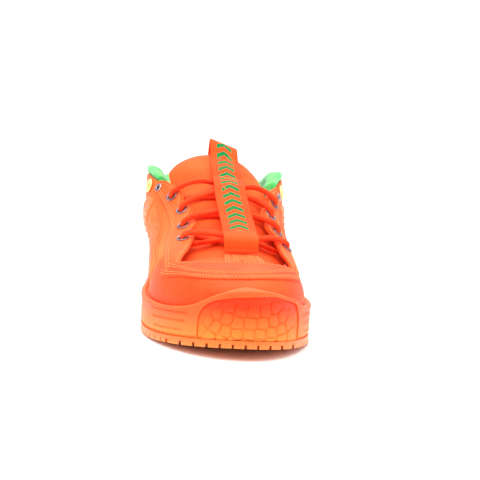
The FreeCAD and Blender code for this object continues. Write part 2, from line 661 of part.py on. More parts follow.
def pad_out(s, h, drop):
    return -SK - 0.5 + (1.1 * sstep((RISE - drop) / RISE) if drop < RISE else 0.0) - (1.6 if drop < 0.4 else 0.0)


def pad_in(s, h, drop):
    return -pad_depth(drop) + (1.6 if drop < 0.4 else 0.0)


def lin_out(s, h, drop):
    return -pad_depth(drop) - 0.8


def lin_in(s, h, drop):
    return -pad_depth(drop) - 0.8 - LG


def collar_panel(off_in, off_out, frac_low, frac_top, ns, nh):
    outer, inner = [], []
    for s in even_stations(COL_LOW, COL_HIGH, ns, 0.004, 0.996):
        a = knots(COL_LOW, s)
        b = knots(COL_HIGH, s)
        length = math.sqrt(sum((b[c] - a[c]) ** 2 for c in range(3)))
        d0 = length - 8.5 if frac_low is None else frac_low
        m = 4 * nh
        walk = []
        for j in range(m + 1):
            drop = d0 + (frac_top - d0) * j / float(m)
            h = 1.0 - drop / length
            p = project(tuple(a[c] + (b[c] - a[c]) * h for c in range(3)))
            walk.append((p[0], p[1], p[2], drop * 0.001))
        ro, ri = [], []
        for q in spread(walk, nh):
            p = q[:3]
            drop = q[3] * 1000.0
            n = normal(p)
            o = off_out(s, 0.0, drop)
            v = off_in(s, 0.0, drop)
            ro.append(tuple(p[c] + n[c] * o for c in range(3)))
            ri.append(tuple(p[c] + n[c] * v for c in range(3)))
        outer.append(ro)
        inner.append(ri)
    return skin(outer, inner)


collar_padding = feature("collar_padding", collar_panel(pad_in, pad_out, 22.0, 0.0, 61, 12))
collar_lining = feature("collar_lining", collar_panel(lin_in, lin_out, None, 1.2, 61, 13))
FQ_L_LOW = [seat(-48.3, -67), seat(-48.6, -45), seat(-46.6, -20), seat(-44.5, 0), seat(-43.4, 14)]
FQ_L_HIGH = [(-34, -67, 53), (-33, -46, 56), (-35.5, -24, 63), (-42, -2, 70), (-47.5, 13, 77)]
FQ_M_LOW = [seat(49.3, -67), seat(46.3, -45), seat(42.3, -20), seat(40, 0), seat(39.0, 14)]
FQ_M_HIGH = [(43, -67, 50), (40, -46, 54), (37.5, -24, 62), (38.5, -2, 70), (41, 13, 77)]
quarter_lining_lateral = feature("quarter_lining_lateral", panel(FQ_L_LOW, FQ_L_HIGH, -SK - 0.5 - LG, -SK - 0.5, ns=25, nh=9))
quarter_lining_medial = feature("quarter_lining_medial", panel(FQ_M_LOW, FQ_M_HIGH, -SK - 0.5 - LG, -SK - 0.5, ns=25, nh=9))


# ----------------------------------------------------------------------------
# Eyelet rings, top rings and collar grommets
# ----------------------------------------------------------------------------
def rim_body(name, bore_expr, barrel_expr, flange_expr, grip, flange):
    """Turned ring: a barrel through the material and a flange on its face. Axis +Z, face at z 0."""
    body = doc.addObject("PartDesign::Body", name)
    sk = body.newObject("Sketcher::SketchObject", name + "_section")
    sk.AttachmentSupport = (plane(body, "XZ_Plane"), [""])
    sk.MapMode = "FlatFace"
    r0, r1, r2 = 1.0, 2.0, 3.0
    pts = [(r0, -grip), (r1, -grip), (r1, 0), (r2, 0), (r2, flange), (r0, flange)]
    for i in range(6):
        a, b = pts[i], pts[(i + 1) % 6]
        sk.addGeometry(Part.LineSegment(Vector(a[0], a[1], 0), Vector(b[0], b[1], 0)), False)
    for i in range(6):
        sk.addConstraint(Sketcher.Constraint("Coincident", i, 2, (i + 1) % 6, 1))
    for i in (0, 2, 4):
        sk.addConstraint(Sketcher.Constraint("Horizontal", i))
    for i in (1, 3, 5):
        sk.addConstraint(Sketcher.Constraint("Vertical", i))
    c = sk.addConstraint(Sketcher.Constraint("DistanceX", -1, 1, 0, 1, r0))
    sk.setExpression("Constraints[%d]" % c, bore_expr)
    c = sk.addConstraint(Sketcher.Constraint("DistanceX", -1, 1, 1, 1, r1))
    sk.setExpression("Constraints[%d]" % c, barrel_expr)
    c = sk.addConstraint(Sketcher.Constraint("DistanceX", -1, 1, 3, 1, r2))
    sk.setExpression("Constraints[%d]" % c, flange_expr)
    sk.addConstraint(Sketcher.Constraint("DistanceY", 0, 1, -1, 1, grip))
    sk.addConstraint(Sketcher.Constraint("DistanceY", -1, 1, 3, 2, flange))
    sk.addConstraint(Sketcher.Constraint("PointOnObject", 2, 1, -1))
    doc.recompute()
    rev = body.newObject("PartDesign::Revolution", name + "_turn")
    rev.Profile = sk
    rev.ReferenceAxis = (sk, ["V_Axis"])
    rev.Angle = 360.0
    body.Tip = rev
    doc.recompute()
    return body


def place_on(shape, p, off):
    n = Vector(*normal(p))
    s = shape.copy()
    s.Placement = FreeCAD.Placement(Vector(*p) + n * off, FreeCAD.Rotation(Vector(0, 0, 1), n))
    return s


GRIP = SK + LAP + OV
FACE = LAP + OV + 0.05
eyelet = rim_body("eyelet_ring", "Sizes.eyelet_bore / 2", "Sizes.eyelet_barrel / 2", "Sizes.eyelet_flange / 2", GRIP, 0.5)
top_ring = rim_body("top_ring", "1.3", "1.8", "2.9", GRIP - OV, 0.7)
vent = rim_body("vent_ring", "Sizes.vent_bore / 2", "2.7", "Sizes.vent_flange / 2", SK, 0.8)
eyelets_lateral = feature("eyelets_lateral", Part.makeCompound([place_on(eyelet.Shape, p, FACE + 0.1) for p in eye_l]))
eyelets_medial = feature("eyelets_medial", Part.makeCompound([place_on(eyelet.Shape, p, FACE + 0.1) for p in eye_m]))
top_rings = feature("top_rings", Part.makeCompound([place_on(top_ring.Shape, p, FACE + 0.1) for p in (ring_l, ring_m)]))
collar_grommets = feature("collar_grommets", Part.makeCompound([place_on(vent.Shape, p, 0.2) for p in (vent_l, vent_m)]))


# ----------------------------------------------------------------------------
# Tongue: fixed base below the laces, free flap above the top lace row
# ----------------------------------------------------------------------------
TG = size("tongue_gauge")
TB_LOW_L = [(-36, -84, 47), (-33, -60, 54), (-32, -35, 61), (-34, -14, 69.5), (-37, -3, 74)]
TB_LOW_M = [(45, -84, 45), (42, -60, 51), (38, -35, 59), (35, -14, 69.5), (36, -3, 74)]


def tongue_grid(l_edge, m_edge, ns, nu, base_off, puff, gauge):
    outer, inner = [], []
    for i in range(ns):
        s = i / (ns - 1.0)
        a = knots(l_edge, s)
        b = knots(m_edge, s)
        ro, ri = [], []
        for j in range(nu):
            u = j / (nu - 1.0)
            yv = a[1] + (b[1] - a[1]) * u
            # walk over the instep from one edge to the other
            mid = (tab(CL, yv), yv, 0.5 * (a[2] + b[2]) + 60.0)
            wl = (1 - u) ** 2
            wm = u ** 2
            wc = 0.5 * u * (1 - u)
            k = wl + wm + wc
            seed = tuple((a[c] * wl + b[c] * wm + mid[c] * wc) / k for c in range(3))
            p = project(seed)
            n = normal(p)
            o = base_off + puff * math.sin(math.pi * u) ** 1.2
            ro.append(tuple(p[c] + n[c] * o for c in range(3)))
            g = gauge * (0.45 + 0.55 * math.sin(math.pi * clamp(u, 0.0, 1.0)) ** 0.5)
            ri.append(tuple(p[c] + n[c] * (o - g) for c in range(3)))
        outer.append(ro)
        inner.append(ri)
    return outer, inner


outer, inner = tongue_grid(TB_LOW_L, TB_LOW_M, 17, 17, -8.3, 1.3, TG)
tongue_base = feature("tongue_base", skin(outer, inner))

# free flap: an arched pad standing up behind the laces, its edges inside the collar wings
FLAP = [  # centre x, centre y, centre z, half width, drop of the edges, setback of the edges
    (-0.6, 6.0, 86.5, 32.0, 12.5, 2.0),
    (-2.4, 14.0, 92.5, 30.4, 12.5, 2.5),
    (-3.8, 22.0, 97.0, 29.8, 12.5, 2.5),
    (-4.4, 30.0, 100.5, 29.0, 12.0, 2.0),
    (-4.6, 36.0, 102.6, 23.0, 8.5, 1.0),
]
FLAP_N = (0.0, -0.55, 0.835)


def flap_point(s, u, depth):
    cx, cy, cz, hw, dr, sb = knots(FLAP, s)
    v = 2 * u - 1
    arch = v * v * (0.75 + 0.25 * v * v)
    x = cx + hw * v
    y = cy + sb * arch
    z = cz - dr * arch
    nx = 0.62 * v
    ny, nz = FLAP_N[1], FLAP_N[2]
    m = math.sqrt(nx * nx + ny * ny + nz * nz)
    return (x - nx / m * depth, y - ny / m * depth, z - nz / m * depth)


def flap_grid(ns, nu, d0, d1):
    outer, inner = [], []
    for i in range(ns):
        s = i / (ns - 1.0)
        ro, ri = [], []
        for j in range(nu):
            u = j / (nu - 1.0)
            crown = math.sin(math.pi * u) ** 0.6
            end = math.sin(math.pi * clamp(0.5 + 0.5 * (1 - (1 - s) * 6.0), 0.5, 1.0)) if s > 0.83 else 1.0
            g = (d1 - d0) * (0.40 + 0.60 * crown) * (0.55 + 0.45 * end)
            ro.append(flap_point(s, u, d0))
            ri.append(flap_point(s, u, d0 + g))
        outer.append(ro)
        inner.append(ri)
    return outer, inner


outer, inner = flap_grid(11, 13, 0.0, TG + 1.0)
tongue_flap = feature("tongue_flap", skin(outer, inner))


# ----------------------------------------------------------------------------
# Webbing strap, pull loop, lace keeper and its stitched patch
# ----------------------------------------------------------------------------
WW = size("webbing_width")
WG = size("webbing_gauge")


def ridge(y, off):
    """Point above the centre line of the instep, at height off over the last."""
    return lift(on_top(tab(CL, y), y), off)


def webbing(path, width_fn, gauge, lean=0.0):
    """Flat band along a list of (x, y, z) centre points; bottom face on the path, top face gauge above it."""
    outer, inner = [], []
    n = len(path)
    for i in range(n):
        a = path[max(i - 1, 0)]
        b = path[min(i + 1, n - 1)]
        t = Vector(b[0] - a[0], b[1] - a[1], b[2] - a[2])
        t.normalize()
        side = Vector(1, 0, lean)
        side = side - t * side.dot(t)
        side.normalize()
        up = side.cross(t)
        if up.z < 0 and abs(up.z) > 0.2:
            up = up * -1
        w = width_fn(i / (n - 1.0)) / 2.0
        ro, ri = [], []
        for f in (-1.0, -0.5, 0.0, 0.5, 1.0):
            c = Vector(*path[i]) + side * (w * f)
            ro.append(tuple(c + up * gauge))
            ri.append(tuple(c))
        outer.append(ro)
        inner.append(ri)
    return skin(outer, inner)


low_path = []
for i in range(15):
    y = -57.0 + (-0.5 + 57.0) * i / 14.0
    q = ridge(y, 4.4 - 5.0 * sstep((y + 15.0) / 14.0))
    low_path.append((q[0] + 1.0, q[1], q[2]))
strap_lower = feature("strap_lower", webbing(low_path, lambda s: WW - 1.2 * s, WG))

# the part of the strap on the flap
up_path = []
for i in range(9):
    s = i / 8.0
    y = 9.0 + (30.2 - 9.0) * s
    cz = tab([(6.0, 86.5), (14.0, 92.5), (22.0, 97.0), (30.0, 100.5), (36.0, 102.6)], y)
    lift_up = 1.4 + 3.6 * (1.0 - sstep((y - 5.6) / 22.9))
    up_path.append((tab([(3, 1.0), (20, -1.0), (36, -1.5)], y), y - 0.55 * lift_up, cz + 0.835 * lift_up))
strap_upper = feature("strap_upper", webbing(up_path, lambda s: WW - 1.4, WG))

# pull loop: the webbing folded over above the tongue's top edge, open along X
lw = WW - 1.6


def loop_solid():
    """Inverted U of webbing seen along X, with a rounded fold."""
    pts_out = [(30.5, 107.2), (32.4, 110.6), (35.4, 113.3), (39.0, 114.2), (43.0, 112.4), (45.4, 108.0), (46.0, 103.4), (45.8, 99.5)]
    pts = []
    bs = Part.BSplineCurve()
    bs.interpolate([Vector(0, y, z) for y, z in pts_out])
    n = 24
    a, b = bs.FirstParameter, bs.LastParameter
    outer, inner = [], []
    for i in range(n + 1):
        t = a + (b - a) * i / n
        p = bs.value(t)
        d = bs.tangent(t)[0]
        up = Vector(0, -d.z, d.y)
        if up.dot(p - Vector(0, 38, 102)) < 0:
            up = up * -1
        ro, ri = [], []
        for f in (-1.0, -0.5, 0.0, 0.5, 1.0):
            x = -1.0 + lw / 2.0 * f
            drop = -1.9 * f
            ro.append((x, p.y, p.z + drop))
            ri.append((x, p.y - up.y * WG, p.z - up.z * WG + drop))
        outer.append(ro)
        inner.append(ri)
    return skin(outer, inner)


pull_loop = feature("pull_loop", loop_solid())

# lace keeper: a short belt loop across the bottom lace row, legs fore and aft


def keeper_solid():
    foot = [(-79.0, -0.8), (-77.6, 0.6), (-75.4, 3.4), (-71.0, 4.9), (-66.0, 5.0), (-61.5, 4.6), (-59.2, 4.2)]
    outer, inner = [], []
    m = 19
    ys = []
    for i in range(m):
        f = i / (m - 1.0)
        yo = tuple(tab([(k, r[c]) for k, r in enumerate(foot)], f * (len(foot) - 1)) for c in range(2))
        ys.append(yo)
    for i, (y, off) in enumerate(ys):
        q = ridge(y, off)
        q2 = ridge(y, off + WG)
        ro, ri = [], []
        for f in (-1.0, -0.5, 0.0, 0.5, 1.0):
            x = (WW - 0.8) / 2.0 * f
            ro.append((q2[0] + 0.6 + x, q2[1], q2[2]))
            ri.append((q[0] + 0.6 + x, q[1], q[2]))
        outer.append(ro)
        inner.append(ri)
    return skin(outer, inner)


lace_keeper = feature("lace_keeper", keeper_solid())

# stitched patch under the keeper, on the tongue's lower end
patch_grid_o, patch_grid_i = [], []
for i in range(9):
    y = -91.5 + 11.5 * i / 8.0
    ro, ri = [], []
    for f in (-1.0, -0.5, 0.0, 0.5, 1.0):
        half = 14.5 - 3.2 * i / 8.0
        x = tab(CL, y) + half * f
        p = on_top(x, y)
        n = normal(p)
        ro.append(tuple(p[c] + n[c] * (-5.4) for c in range(3)))
        ri.append(tuple(p[c] + n[c] * (-6.3) for c in range(3)))
    patch_grid_o.append(ro)
    patch_grid_i.append(ri)
keeper_patch = feature("keeper_patch", skin(patch_grid_o, patch_grid_i))


# ----------------------------------------------------------------------------
# Lace: one cord, criss-crossed through the four rows, its ends under the strap
# ----------------------------------------------------------------------------
LR = size("lace_gauge") / 2.0
TOPO = LAP + OV + 2.3 + LR
LOWO = -(SK + LR + 0.8)


def arc_wire(points, min_r=2.35):
    """Straight runs joined by tangent arcs."""
    edges = []
    radii = []
    start = Vector(*points[0])
    for i in range(1, len(points) - 1):
        p0, p1, p2 = Vector(*points[i - 1]), Vector(*points[i]), Vector(*points[i + 1])
        d0 = (p1 - p0)
        d1 = (p2 - p1)
        l0, l1 = d0.Length, d1.Length
        d0.normalize()
        d1.normalize()
        ang = math.acos(clamp(d0.dot(d1), -1, 1))
        if ang < 0.01:
            continue
        t = 0.45 * min(l0, l1)
        if min(l0, l1) < 11.0:
            # round the edge of an eyelet: a tight bend, with the cord straight in the ring
            t = min(t, 3.0)
        r = t / math.tan(ang / 2.0)
        radii.append(round(r, 2))
        a = p1 - d0 * t
        b = p1 + d1 * t
        bis = (d1 - d0)
        bis.normalize()
        cen = p1 + bis * (r / math.cos(ang / 2.0))
        m = cen + (p1 - cen).normalize() * r
        if (a - start).Length > 1e-4:
            edges.append(Part.LineSegment(start, a).toShape())
        edges.append(Part.Arc(a, m, b).toShape())
        start = b
    edges.append(Part.LineSegment(start, Vector(*points[-1])).toShape())
    return Part.Wire(edges), radii


def tube(points, r):
    wire, radii = arc_wire(points)
    d = Vector(*points[1]) - Vector(*points[0])
    circle = Part.Wire([Part.makeCircle(r, Vector(*points[0]), d)])
    pipe = wire.makePipeShell([circle], True, False, 2)
    return pipe, wire.Length, radii


def eye(side, row, off):
    return lift((eye_l if side < 0 else eye_m)[row], off)


def toward(p, q, dist, off_from=None):
    v = Vector(*q) - Vector(*p)
    v.normalize()
    return v * dist


def cross_span(side, row, row_to, high, first=False):
    """From the top of one eyelet over the tongue to below the opposite edge and up under the next eyelet."""
    a = (eye_l if side < 0 else eye_m)[row]
    b = (eye_m if side < 0 else eye_l)[row_to]
    pts = [lift(a, TOPO)]
    yc = 0.5 * (a[1] + b[1]) - 2.0
    if row == 3:
        yc = -65.0
    seeds = []
    # leave over the edge of the eyestay
    f1 = (a[0] + (tab(CL, yc) - a[0]) * 0.42, a[1] + (yc - a[1]) * 0.42)
    p1 = on_top(f1[0], f1[1])
    pts.append(lift(p1, 4.4 if high else 3.8))
    # the crossing at the centre
    p2 = on_top(tab(CL, yc), yc)
    pts.append(lift(p2, 1.2 if high else -3.9))
    # dive under the opposite edge, a little in front of the eyelet
    yb = b[1] - 3.5
    f3 = (b[0] + (tab(CL, yc) - b[0]) * 0.46, yb + (yc - yb) * 0.46)
    p3 = on_top(f3[0], f3[1])
    pts.append(lift(p3, -3.7 if high else -4.9))
    p4 = project((b[0] + (tab(CL, yb) - b[0]) * 0.0, yb, b[2]))
    b_in = lift(b, LOWO)
    pts.append(b_in)
    return pts


def half_lace(side):
    pts = []
    start = lift((eye_l if side < 0 else eye_m)[3], LOWO)
    mid = ridge(-57.0, LOWO - 0.2)
    q = on_top((start[0] + tab(CL, -57.0)) / 2.0, -57.0)
    pts.append((tab(CL, -57.0), mid[1], mid[2]))
    pts.append(lift(q, LOWO + 0.1))
    pts.append(start)
    s = side
    for row in (3, 2, 1):
        # the strand that starts on the lateral side always crosses on top
        pts += cross_span(s, row, row - 1, s < 0)
        s = -s
    last = (eye_l if s < 0 else eye_m)[0]
    pts.append(lift(last, TOPO))
    y_end = -1.4 if s < 0 else -8.0
    for f, off in ((0.42, 3.5), (0.80, -3.6)):
        x = last[0] + (tab(CL, y_end) + 1.0 - last[0]) * f
        p = on_top(x, last[1] + (y_end - last[1]) * f)
        pts.append(lift(p, off))
    return pts, s


lace_parts = []
aglet_parts = []
report_radii = []
for side in (-1, 1):
    pts, end_side = half_lace(side)
    pipe, length, radii = tube(pts, LR)
    report_radii.append((length, radii, pipe.Volume / (math.pi * LR * LR * length)))
    lace_parts.append(pipe)
    a = Vector(*pts[-2])
    b = Vector(*pts[-1])
    d = (b - a)
    d.z = 0.0
    d.normalize()
    aglet_parts.append(Part.makeCylinder(LR * 0.62, 13.0, b + (b - a).normalize() * 1.3, Vector(d.x, d.y, 0.0)))
for length, radii, ratio in report_radii:
    print("lace half: length %.1f mm, volume ratio %.4f, least radius %.2f, radii %s" % (length, ratio, min(radii), radii))
lace = feature("lace", Part.makeCompound(lace_parts))
aglets = feature("aglets", Part.makeCompound(aglet_parts))

# ----------------------------------------------------------------------------
# Checks and export
# ----------------------------------------------------------------------------
doc.recompute()
NODES = [outsole, cupsole, toe_bumper, midsole, strobel, sockliner, vamp, toe_puff, vamp_lining,
         quarter_lateral, quarter_medial, quarter_lining_lateral, quarter_lining_medial,
         eyestay_lateral, eyestay_medial, side_overlay_lateral, side_overlay_medial,
         side_rib_panel_lateral, side_rib_panel_medial, heel_overlay, heel_counter,
         collar_padding, collar_lining, eyelets_lateral, eyelets_medial, top_rings, collar_grommets,
         tongue_base, tongue_flap, strap_lower, strap_upper, pull_loop, lace_keeper, keeper_patch, lace, aglets]
for o in doc.Objects:
    bad = [s for s in o.State if s in ("Invalid", "Error")]
    if bad:
        raise RuntimeError("%s is %s" % (o.Name, bad))
problems = []
for o in NODES:
    o.Label = o.Name
    s = o.Shape
    if s.isNull() or not s.Solids or not s.isValid() or s.Volume <= 0:
        problems.append("%s null=%s solids=%d valid=%s" % (o.Name, s.isNull(), len(s.Solids), s.isValid()))
    b = s.optimalBoundingBox(True, False)
    print("%-26s solids %d faces %3d volume %9.1f  x %.1f..%.1f y %.1f..%.1f z %.1f..%.1f" % (o.Name, len(s.Solids), len(s.Faces), s.Volume, b.XMin, b.XMax, b.YMin, b.YMax, b.ZMin, b.ZMax))
if problems:
    raise RuntimeError("; ".join(problems))
os.makedirs("parts", exist_ok=True)
for o in NODES:
    o.Shape.exportStep("parts/%s.step" % o.Label)
print("wrote %d parts" % len(NODES))
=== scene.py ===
import bpy, math
import numpy as np
from mathutils import Vector, Matrix


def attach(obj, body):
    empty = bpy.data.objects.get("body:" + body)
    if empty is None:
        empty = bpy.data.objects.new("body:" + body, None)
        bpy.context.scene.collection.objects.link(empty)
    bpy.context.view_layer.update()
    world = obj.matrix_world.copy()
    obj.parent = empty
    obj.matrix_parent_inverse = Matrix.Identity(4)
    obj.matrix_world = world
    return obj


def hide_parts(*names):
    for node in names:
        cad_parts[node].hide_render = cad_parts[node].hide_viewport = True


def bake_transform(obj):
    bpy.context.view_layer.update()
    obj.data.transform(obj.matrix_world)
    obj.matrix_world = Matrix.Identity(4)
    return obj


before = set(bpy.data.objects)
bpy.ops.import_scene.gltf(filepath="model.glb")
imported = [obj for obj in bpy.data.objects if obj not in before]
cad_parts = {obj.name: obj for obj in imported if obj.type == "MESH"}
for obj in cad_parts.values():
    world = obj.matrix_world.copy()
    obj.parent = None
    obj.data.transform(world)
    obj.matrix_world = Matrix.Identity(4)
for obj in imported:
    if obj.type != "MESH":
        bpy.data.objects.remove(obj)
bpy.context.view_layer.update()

MM = 0.001
rng = np.random.RandomState(7)


# ---------------------------------------------------------------- the last
def tab(T, x):
    T = np.asarray(T, float)
    X, Y = T[:, 0], T[:, 1]
    n = len(X)
    h = np.diff(X)
    d = np.diff(Y) / h
    m = np.empty(n)
    m[0], m[-1] = d[0], d[-1]
    m[1:-1] = (d[:-1] * h[1:] + d[1:] * h[:-1]) / (h[:-1] + h[1:])
    x = np.clip(np.asarray(x, float), X[0], X[-1])
    i = np.clip(np.searchsorted(X, x, side="right") - 1, 0, n - 2)
    t = (x - X[i]) / h[i]
    t2 = t * t
    t3 = t2 * t
    return (2 * t3 - 3 * t2 + 1) * Y[i] + (t3 - 2 * t2 + t) * m[i] * h[i] + (-2 * t3 + 3 * t2) * Y[i + 1] + (t3 - t2) * m[i + 1] * h[i]


def sstep(x):
    x = np.clip(x, 0.0, 1.0)
    return x * x * (3 - 2 * x)


CL = [(-150, 8.5), (-110, 8.5), (-70, 8.0), (-52, 6.6), (-35, 4.2), (-18, 1.6), (0, 0.2), (12, -1.5), (25, -3.6), (45, -4.0), (110, -3.0), (150, -2.5)]
XL30 = [(-150, -42), (-110, -47), (-75, -50), (-45, -49), (-10, -45), (20, -42.5), (60, -42), (100, -42.5), (150, -42)]
XL60 = [(-150, -42), (-90, -44), (-60, -46), (-30, -47), (0, -49), (20, -51.5), (45, -50), (80, -44), (120, -41), (150, -40)]
XL90 = [(-60, -44), (-20, -46), (0, -49), (20, -53), (36, -52.5), (58, -49), (80, -44), (105, -39), (150, -35)]
XM30 = [(-150, 50), (-110, 50.5), (-75, 50), (-45, 46), (-10, 41), (20, 38.5), (60, 37.5), (100, 37.5), (150, 37)]
XM60 = [(-150, 44), (-90, 42.5), (-60, 42), (-30, 41.5), (0, 41.5), (20, 43), (50, 41), (80, 38), (120, 36.5), (150, 35)]
XM90 = [(-60, 40), (-20, 40.5), (0, 42), (20, 44), (36, 44.5), (58, 41), (80, 37), (105, 33), (150, 29)]
FRONT = [(10, -141), (24, -144), (36, -143), (43, -140), (47, -134), (51, -122), (56, -96), (61, -70), (68, -47), (80, -22), (92, -2), (99, 12), (105, 28), (111, 46), (120, 64), (200, 140)]
BACK = [(10, 140), (24, 143), (40, 145), (56, 144.5), (70, 141), (84, 137.5), (98, 137), (112, 140), (140, 148)]
RF = [(14, 78), (40, 82), (50, 92), (60, 92), (75, 84), (95, 66), (115, 56), (140, 50)]
RB = [(10, 48), (50, 47), (100, 44), (140, 44)]


def e2(t, k):
    return np.where(t >= 1, 1.0, np.where(t < 0, k * t, 1 - np.abs(1 - np.clip(t, 0, 1)) ** k))


def phi(x, y, z):
    c = tab(CL, y)
    lat = x < c
    lo = np.where(lat, tab(XL30, y), tab(XM30, y))
    mi = np.where(lat, tab(XL60, y), tab(XM60, y))
    hi = np.where(lat, tab(XL90, y), tab(XM90, y))
    v = np.where(z < 60, lo + (mi - lo) * sstep((z - 28) / 32.0), mi + (hi - mi) * sstep((z - 60) / 32.0))
    w = np.abs(v - c)
    a = e2((y - tab(FRONT, z)) / tab(RF, z), 2.3)
    b = e2((tab(BACK, z) - y) / tab(RB, z), 2.3)
    prod = np.where((a < 0) | (b < 0), np.minimum(a, b), a * b)
    return (x - c) ** 2 - w * w * prod


def project(P):
    P = np.asarray(P, float)
    yc = np.clip(P[..., 1], -88, 92)
    S = np.stack([tab(CL, yc), yc, np.full_like(yc, 36.0)], -1)
    D = P - S
    D = D / np.linalg.norm(D, axis=-1, keepdims=True)
    lo = np.full(P.shape[:-1], 2.0)
    hi = np.full(P.shape[:-1], 230.0)
    for _ in range(26):
        m = 0.5 * (lo + hi)
        Qp = S + D * m[..., None]
        ins = phi(Qp[..., 0], Qp[..., 1], Qp[..., 2]) < 0
        lo = np.where(ins, m, lo)
        hi = np.where(ins, hi, m)
    return S + D * lo[..., None]


def on_top(x, y):
    x, y = np.broadcast_arrays(np.asarray(x, float), np.asarray(y, float))
    lo = np.full(x.shape, 40.0)
    hi = np.full(x.shape, 118.0)
    for _ in range(26):
        m = 0.5 * (lo + hi)
        ins = phi(x, y, m) < 0
        lo = np.where(ins, m, lo)
        hi = np.where(ins, hi, m)
    return np.stack([x, y, lo], -1)


def normal(P, e=0.5):
    g = []
    for i in range(3):
        q = np.array(P, float)
        r = np.array(P, float)
        q[..., i] += e
        r[..., i] -= e
        g.append(phi(q[..., 0], q[..., 1], q[..., 2]) - phi(r[..., 0], r[..., 1], r[..., 2]))
    g = np.stack(g, -1)
    return g / np.linalg.norm(g, axis=-1, keepdims=True)


def lift(P, off):
    return P + normal(P) * np.asarray(off)[..., None]


def rows(K, s):
    k = np.asarray(s, float) * (len(K) - 1)
    i = np.arange(len(K))
    return np.stack([tab(list(zip(i, [r[c] for r in K])), k) for c in range(len(K[0]))], -1)


def cumlen(C):
    return np.concatenate([[0.0], np.cumsum(np.linalg.norm(np.diff(C, axis=0), axis=1))])


def respace(C, n):
    L = cumlen(C)
    t = np.linspace(0, L[-1], n)
    return np.stack([np.interp(t, L, C[:, c]) for c in range(C.shape[1])], -1)


def unit(v):
    return v / np.maximum(np.linalg.norm(v, axis=-1, keepdims=True), 1e-12)


def patch(low, high, ns, nh, s0=0.0, s1=1.0, h0=0.0, h1=1.0):
    """Evenly spaced grid on the last between two knot curves. h0 and h1 are numbers or functions of the middle point's y."""
    sd = np.linspace(s0, s1, 300)
    mid = 0.5 * (rows(low, sd) + rows(high, sd))
    L = cumlen(mid)
    s = np.interp(np.linspace(0, L[-1], ns), L, sd)
    A, B = rows(low, s), rows(high, s)
    H0 = h0(A, B) if callable(h0) else np.full(ns, float(h0))
    H1 = h1(A, B) if callable(h1) else np.full(ns, float(h1))
    f = np.linspace(0, 1, 2 * nh)
    hh = H0[:, None] + (H1 - H0)[:, None] * f
    W = project(A[:, None] + (B - A)[:, None] * hh[..., None])
    return np.stack([respace(W[i], nh) for i in range(ns)])


# ---------------------------------------------------------------- mesh helpers
def make(name, V, F, body, mat, uv=None, smooth=True, sharp=None):
    me = bpy.data.meshes.new(name)
    V = np.asarray(V, float) * MM
    me.from_pydata(V.tolist(), [], F if isinstance(F, list) else np.asarray(F).tolist())
    me.update()
    if uv is not None:
        lay = me.uv_layers.new(name="UVMap")
        idx = np.empty(len(me.loops), dtype=np.int32)
        me.loops.foreach_get("vertex_index", idx)
        lay.data.foreach_set("uv", np.asarray(uv, float)[idx].ravel())
    if smooth:
        me.polygons.foreach_set("use_smooth", np.ones(len(me.polygons), dtype=bool))
    if sharp:
        me.set_sharp_from_angle(angle=math.radians(sharp))
    ob = bpy.data.objects.new(name, me)
    bpy.context.scene.collection.objects.link(ob)
    if mat is not None:
        me.materials.append(mat)
    if body:
        BODY[name] = body
    return ob


BODY = {}


def shell_arrays(O, I, K=3, bulge=None):
    """Vertices, faces and uv of a closed shell between two grids with rounded rims."""
    ns, nh = O.shape[:2]
    V = [O.reshape(-1, 3), I.reshape(-1, 3)]
    idx = np.arange(ns * nh).reshape(ns, nh)
    q = np.stack([idx[:-1, :-1], idx[1:, :-1], idx[1:, 1:], idx[:-1, 1:]], -1).reshape(-1, 4)
    F = [q, q[:, ::-1] + ns * nh]
    loop = np.concatenate([idx[:, 0], idx[-1, 1:], idx[-2::-1, -1], idx[0, -2:0:-1]])
    M = 0.5 * (O + I)
    # outward direction at the rim, along the surface
    T = np.zeros_like(M)
    T[:, 0] += unit(M[:, 0] - M[:, 1])
    T[:, -1] += unit(M[:, -1] - M[:, -2])
    T[0, :] += unit(M[0, :] - M[1, :])
    T[-1, :] += unit(M[-1, :] - M[-2, :])
    T = unit(T)
    Lo, Li = O.reshape(-1, 3)[loop], I.reshape(-1, 3)[loop]
    Lm = 0.5 * (Lo + Li)
    Lt = T.reshape(-1, 3)[loop]
    hv = 0.5 * (Lo - Li)
    r = np.linalg.norm(hv, axis=1, keepdims=True) * (0.75 if bulge is None else bulge)
    n = len(loop)
    base = 2 * ns * nh
    rings = [loop]
    for k in range(1, K + 1):
        th = math.pi * (0.5 - k / (K + 1.0))
        V.append(Lm + hv * math.sin(th) + Lt * r * math.cos(th))
        rings.append(np.arange(n) + base + (k - 1) * n)
    rings.append(loop + ns * nh)
    for a, b in zip(rings, rings[1:]):
        F.append(np.stack([a, b, np.roll(b, -1), np.roll(a, -1)], -1))
    V = np.concatenate(V)
    F = np.concatenate(F)
    # uv in millimetres along the grid
    us = np.concatenate([[0], np.cumsum(np.linalg.norm(np.diff(M[:, nh // 2], axis=0), axis=1))])
    vs = np.concatenate([[0], np.cumsum(np.linalg.norm(np.diff(M[ns // 2], axis=0), axis=1))])
    g = np.stack(np.meshgrid(us, vs, indexing="ij"), -1).reshape(-1, 2)
    uv = np.concatenate([g, g] + [g[loop]] * K)
    return V, F, uv


def fix_faces(V, F):
    """Turn all faces outwards if the closed mesh is inside out."""
    F = np.asarray(F)
    a, b, c = V[F[:, 0]], V[F[:, 1]], V[F[:, 2]]
    vol = np.einsum("ij,ij->i", a, np.cross(b, c)).sum()
    if F.shape[1] == 4:
        d = V[F[:, 3]]
        vol += np.einsum("ij,ij->i", a, np.cross(c, d)).sum()
    return F[:, ::-1] if vol < 0 else F


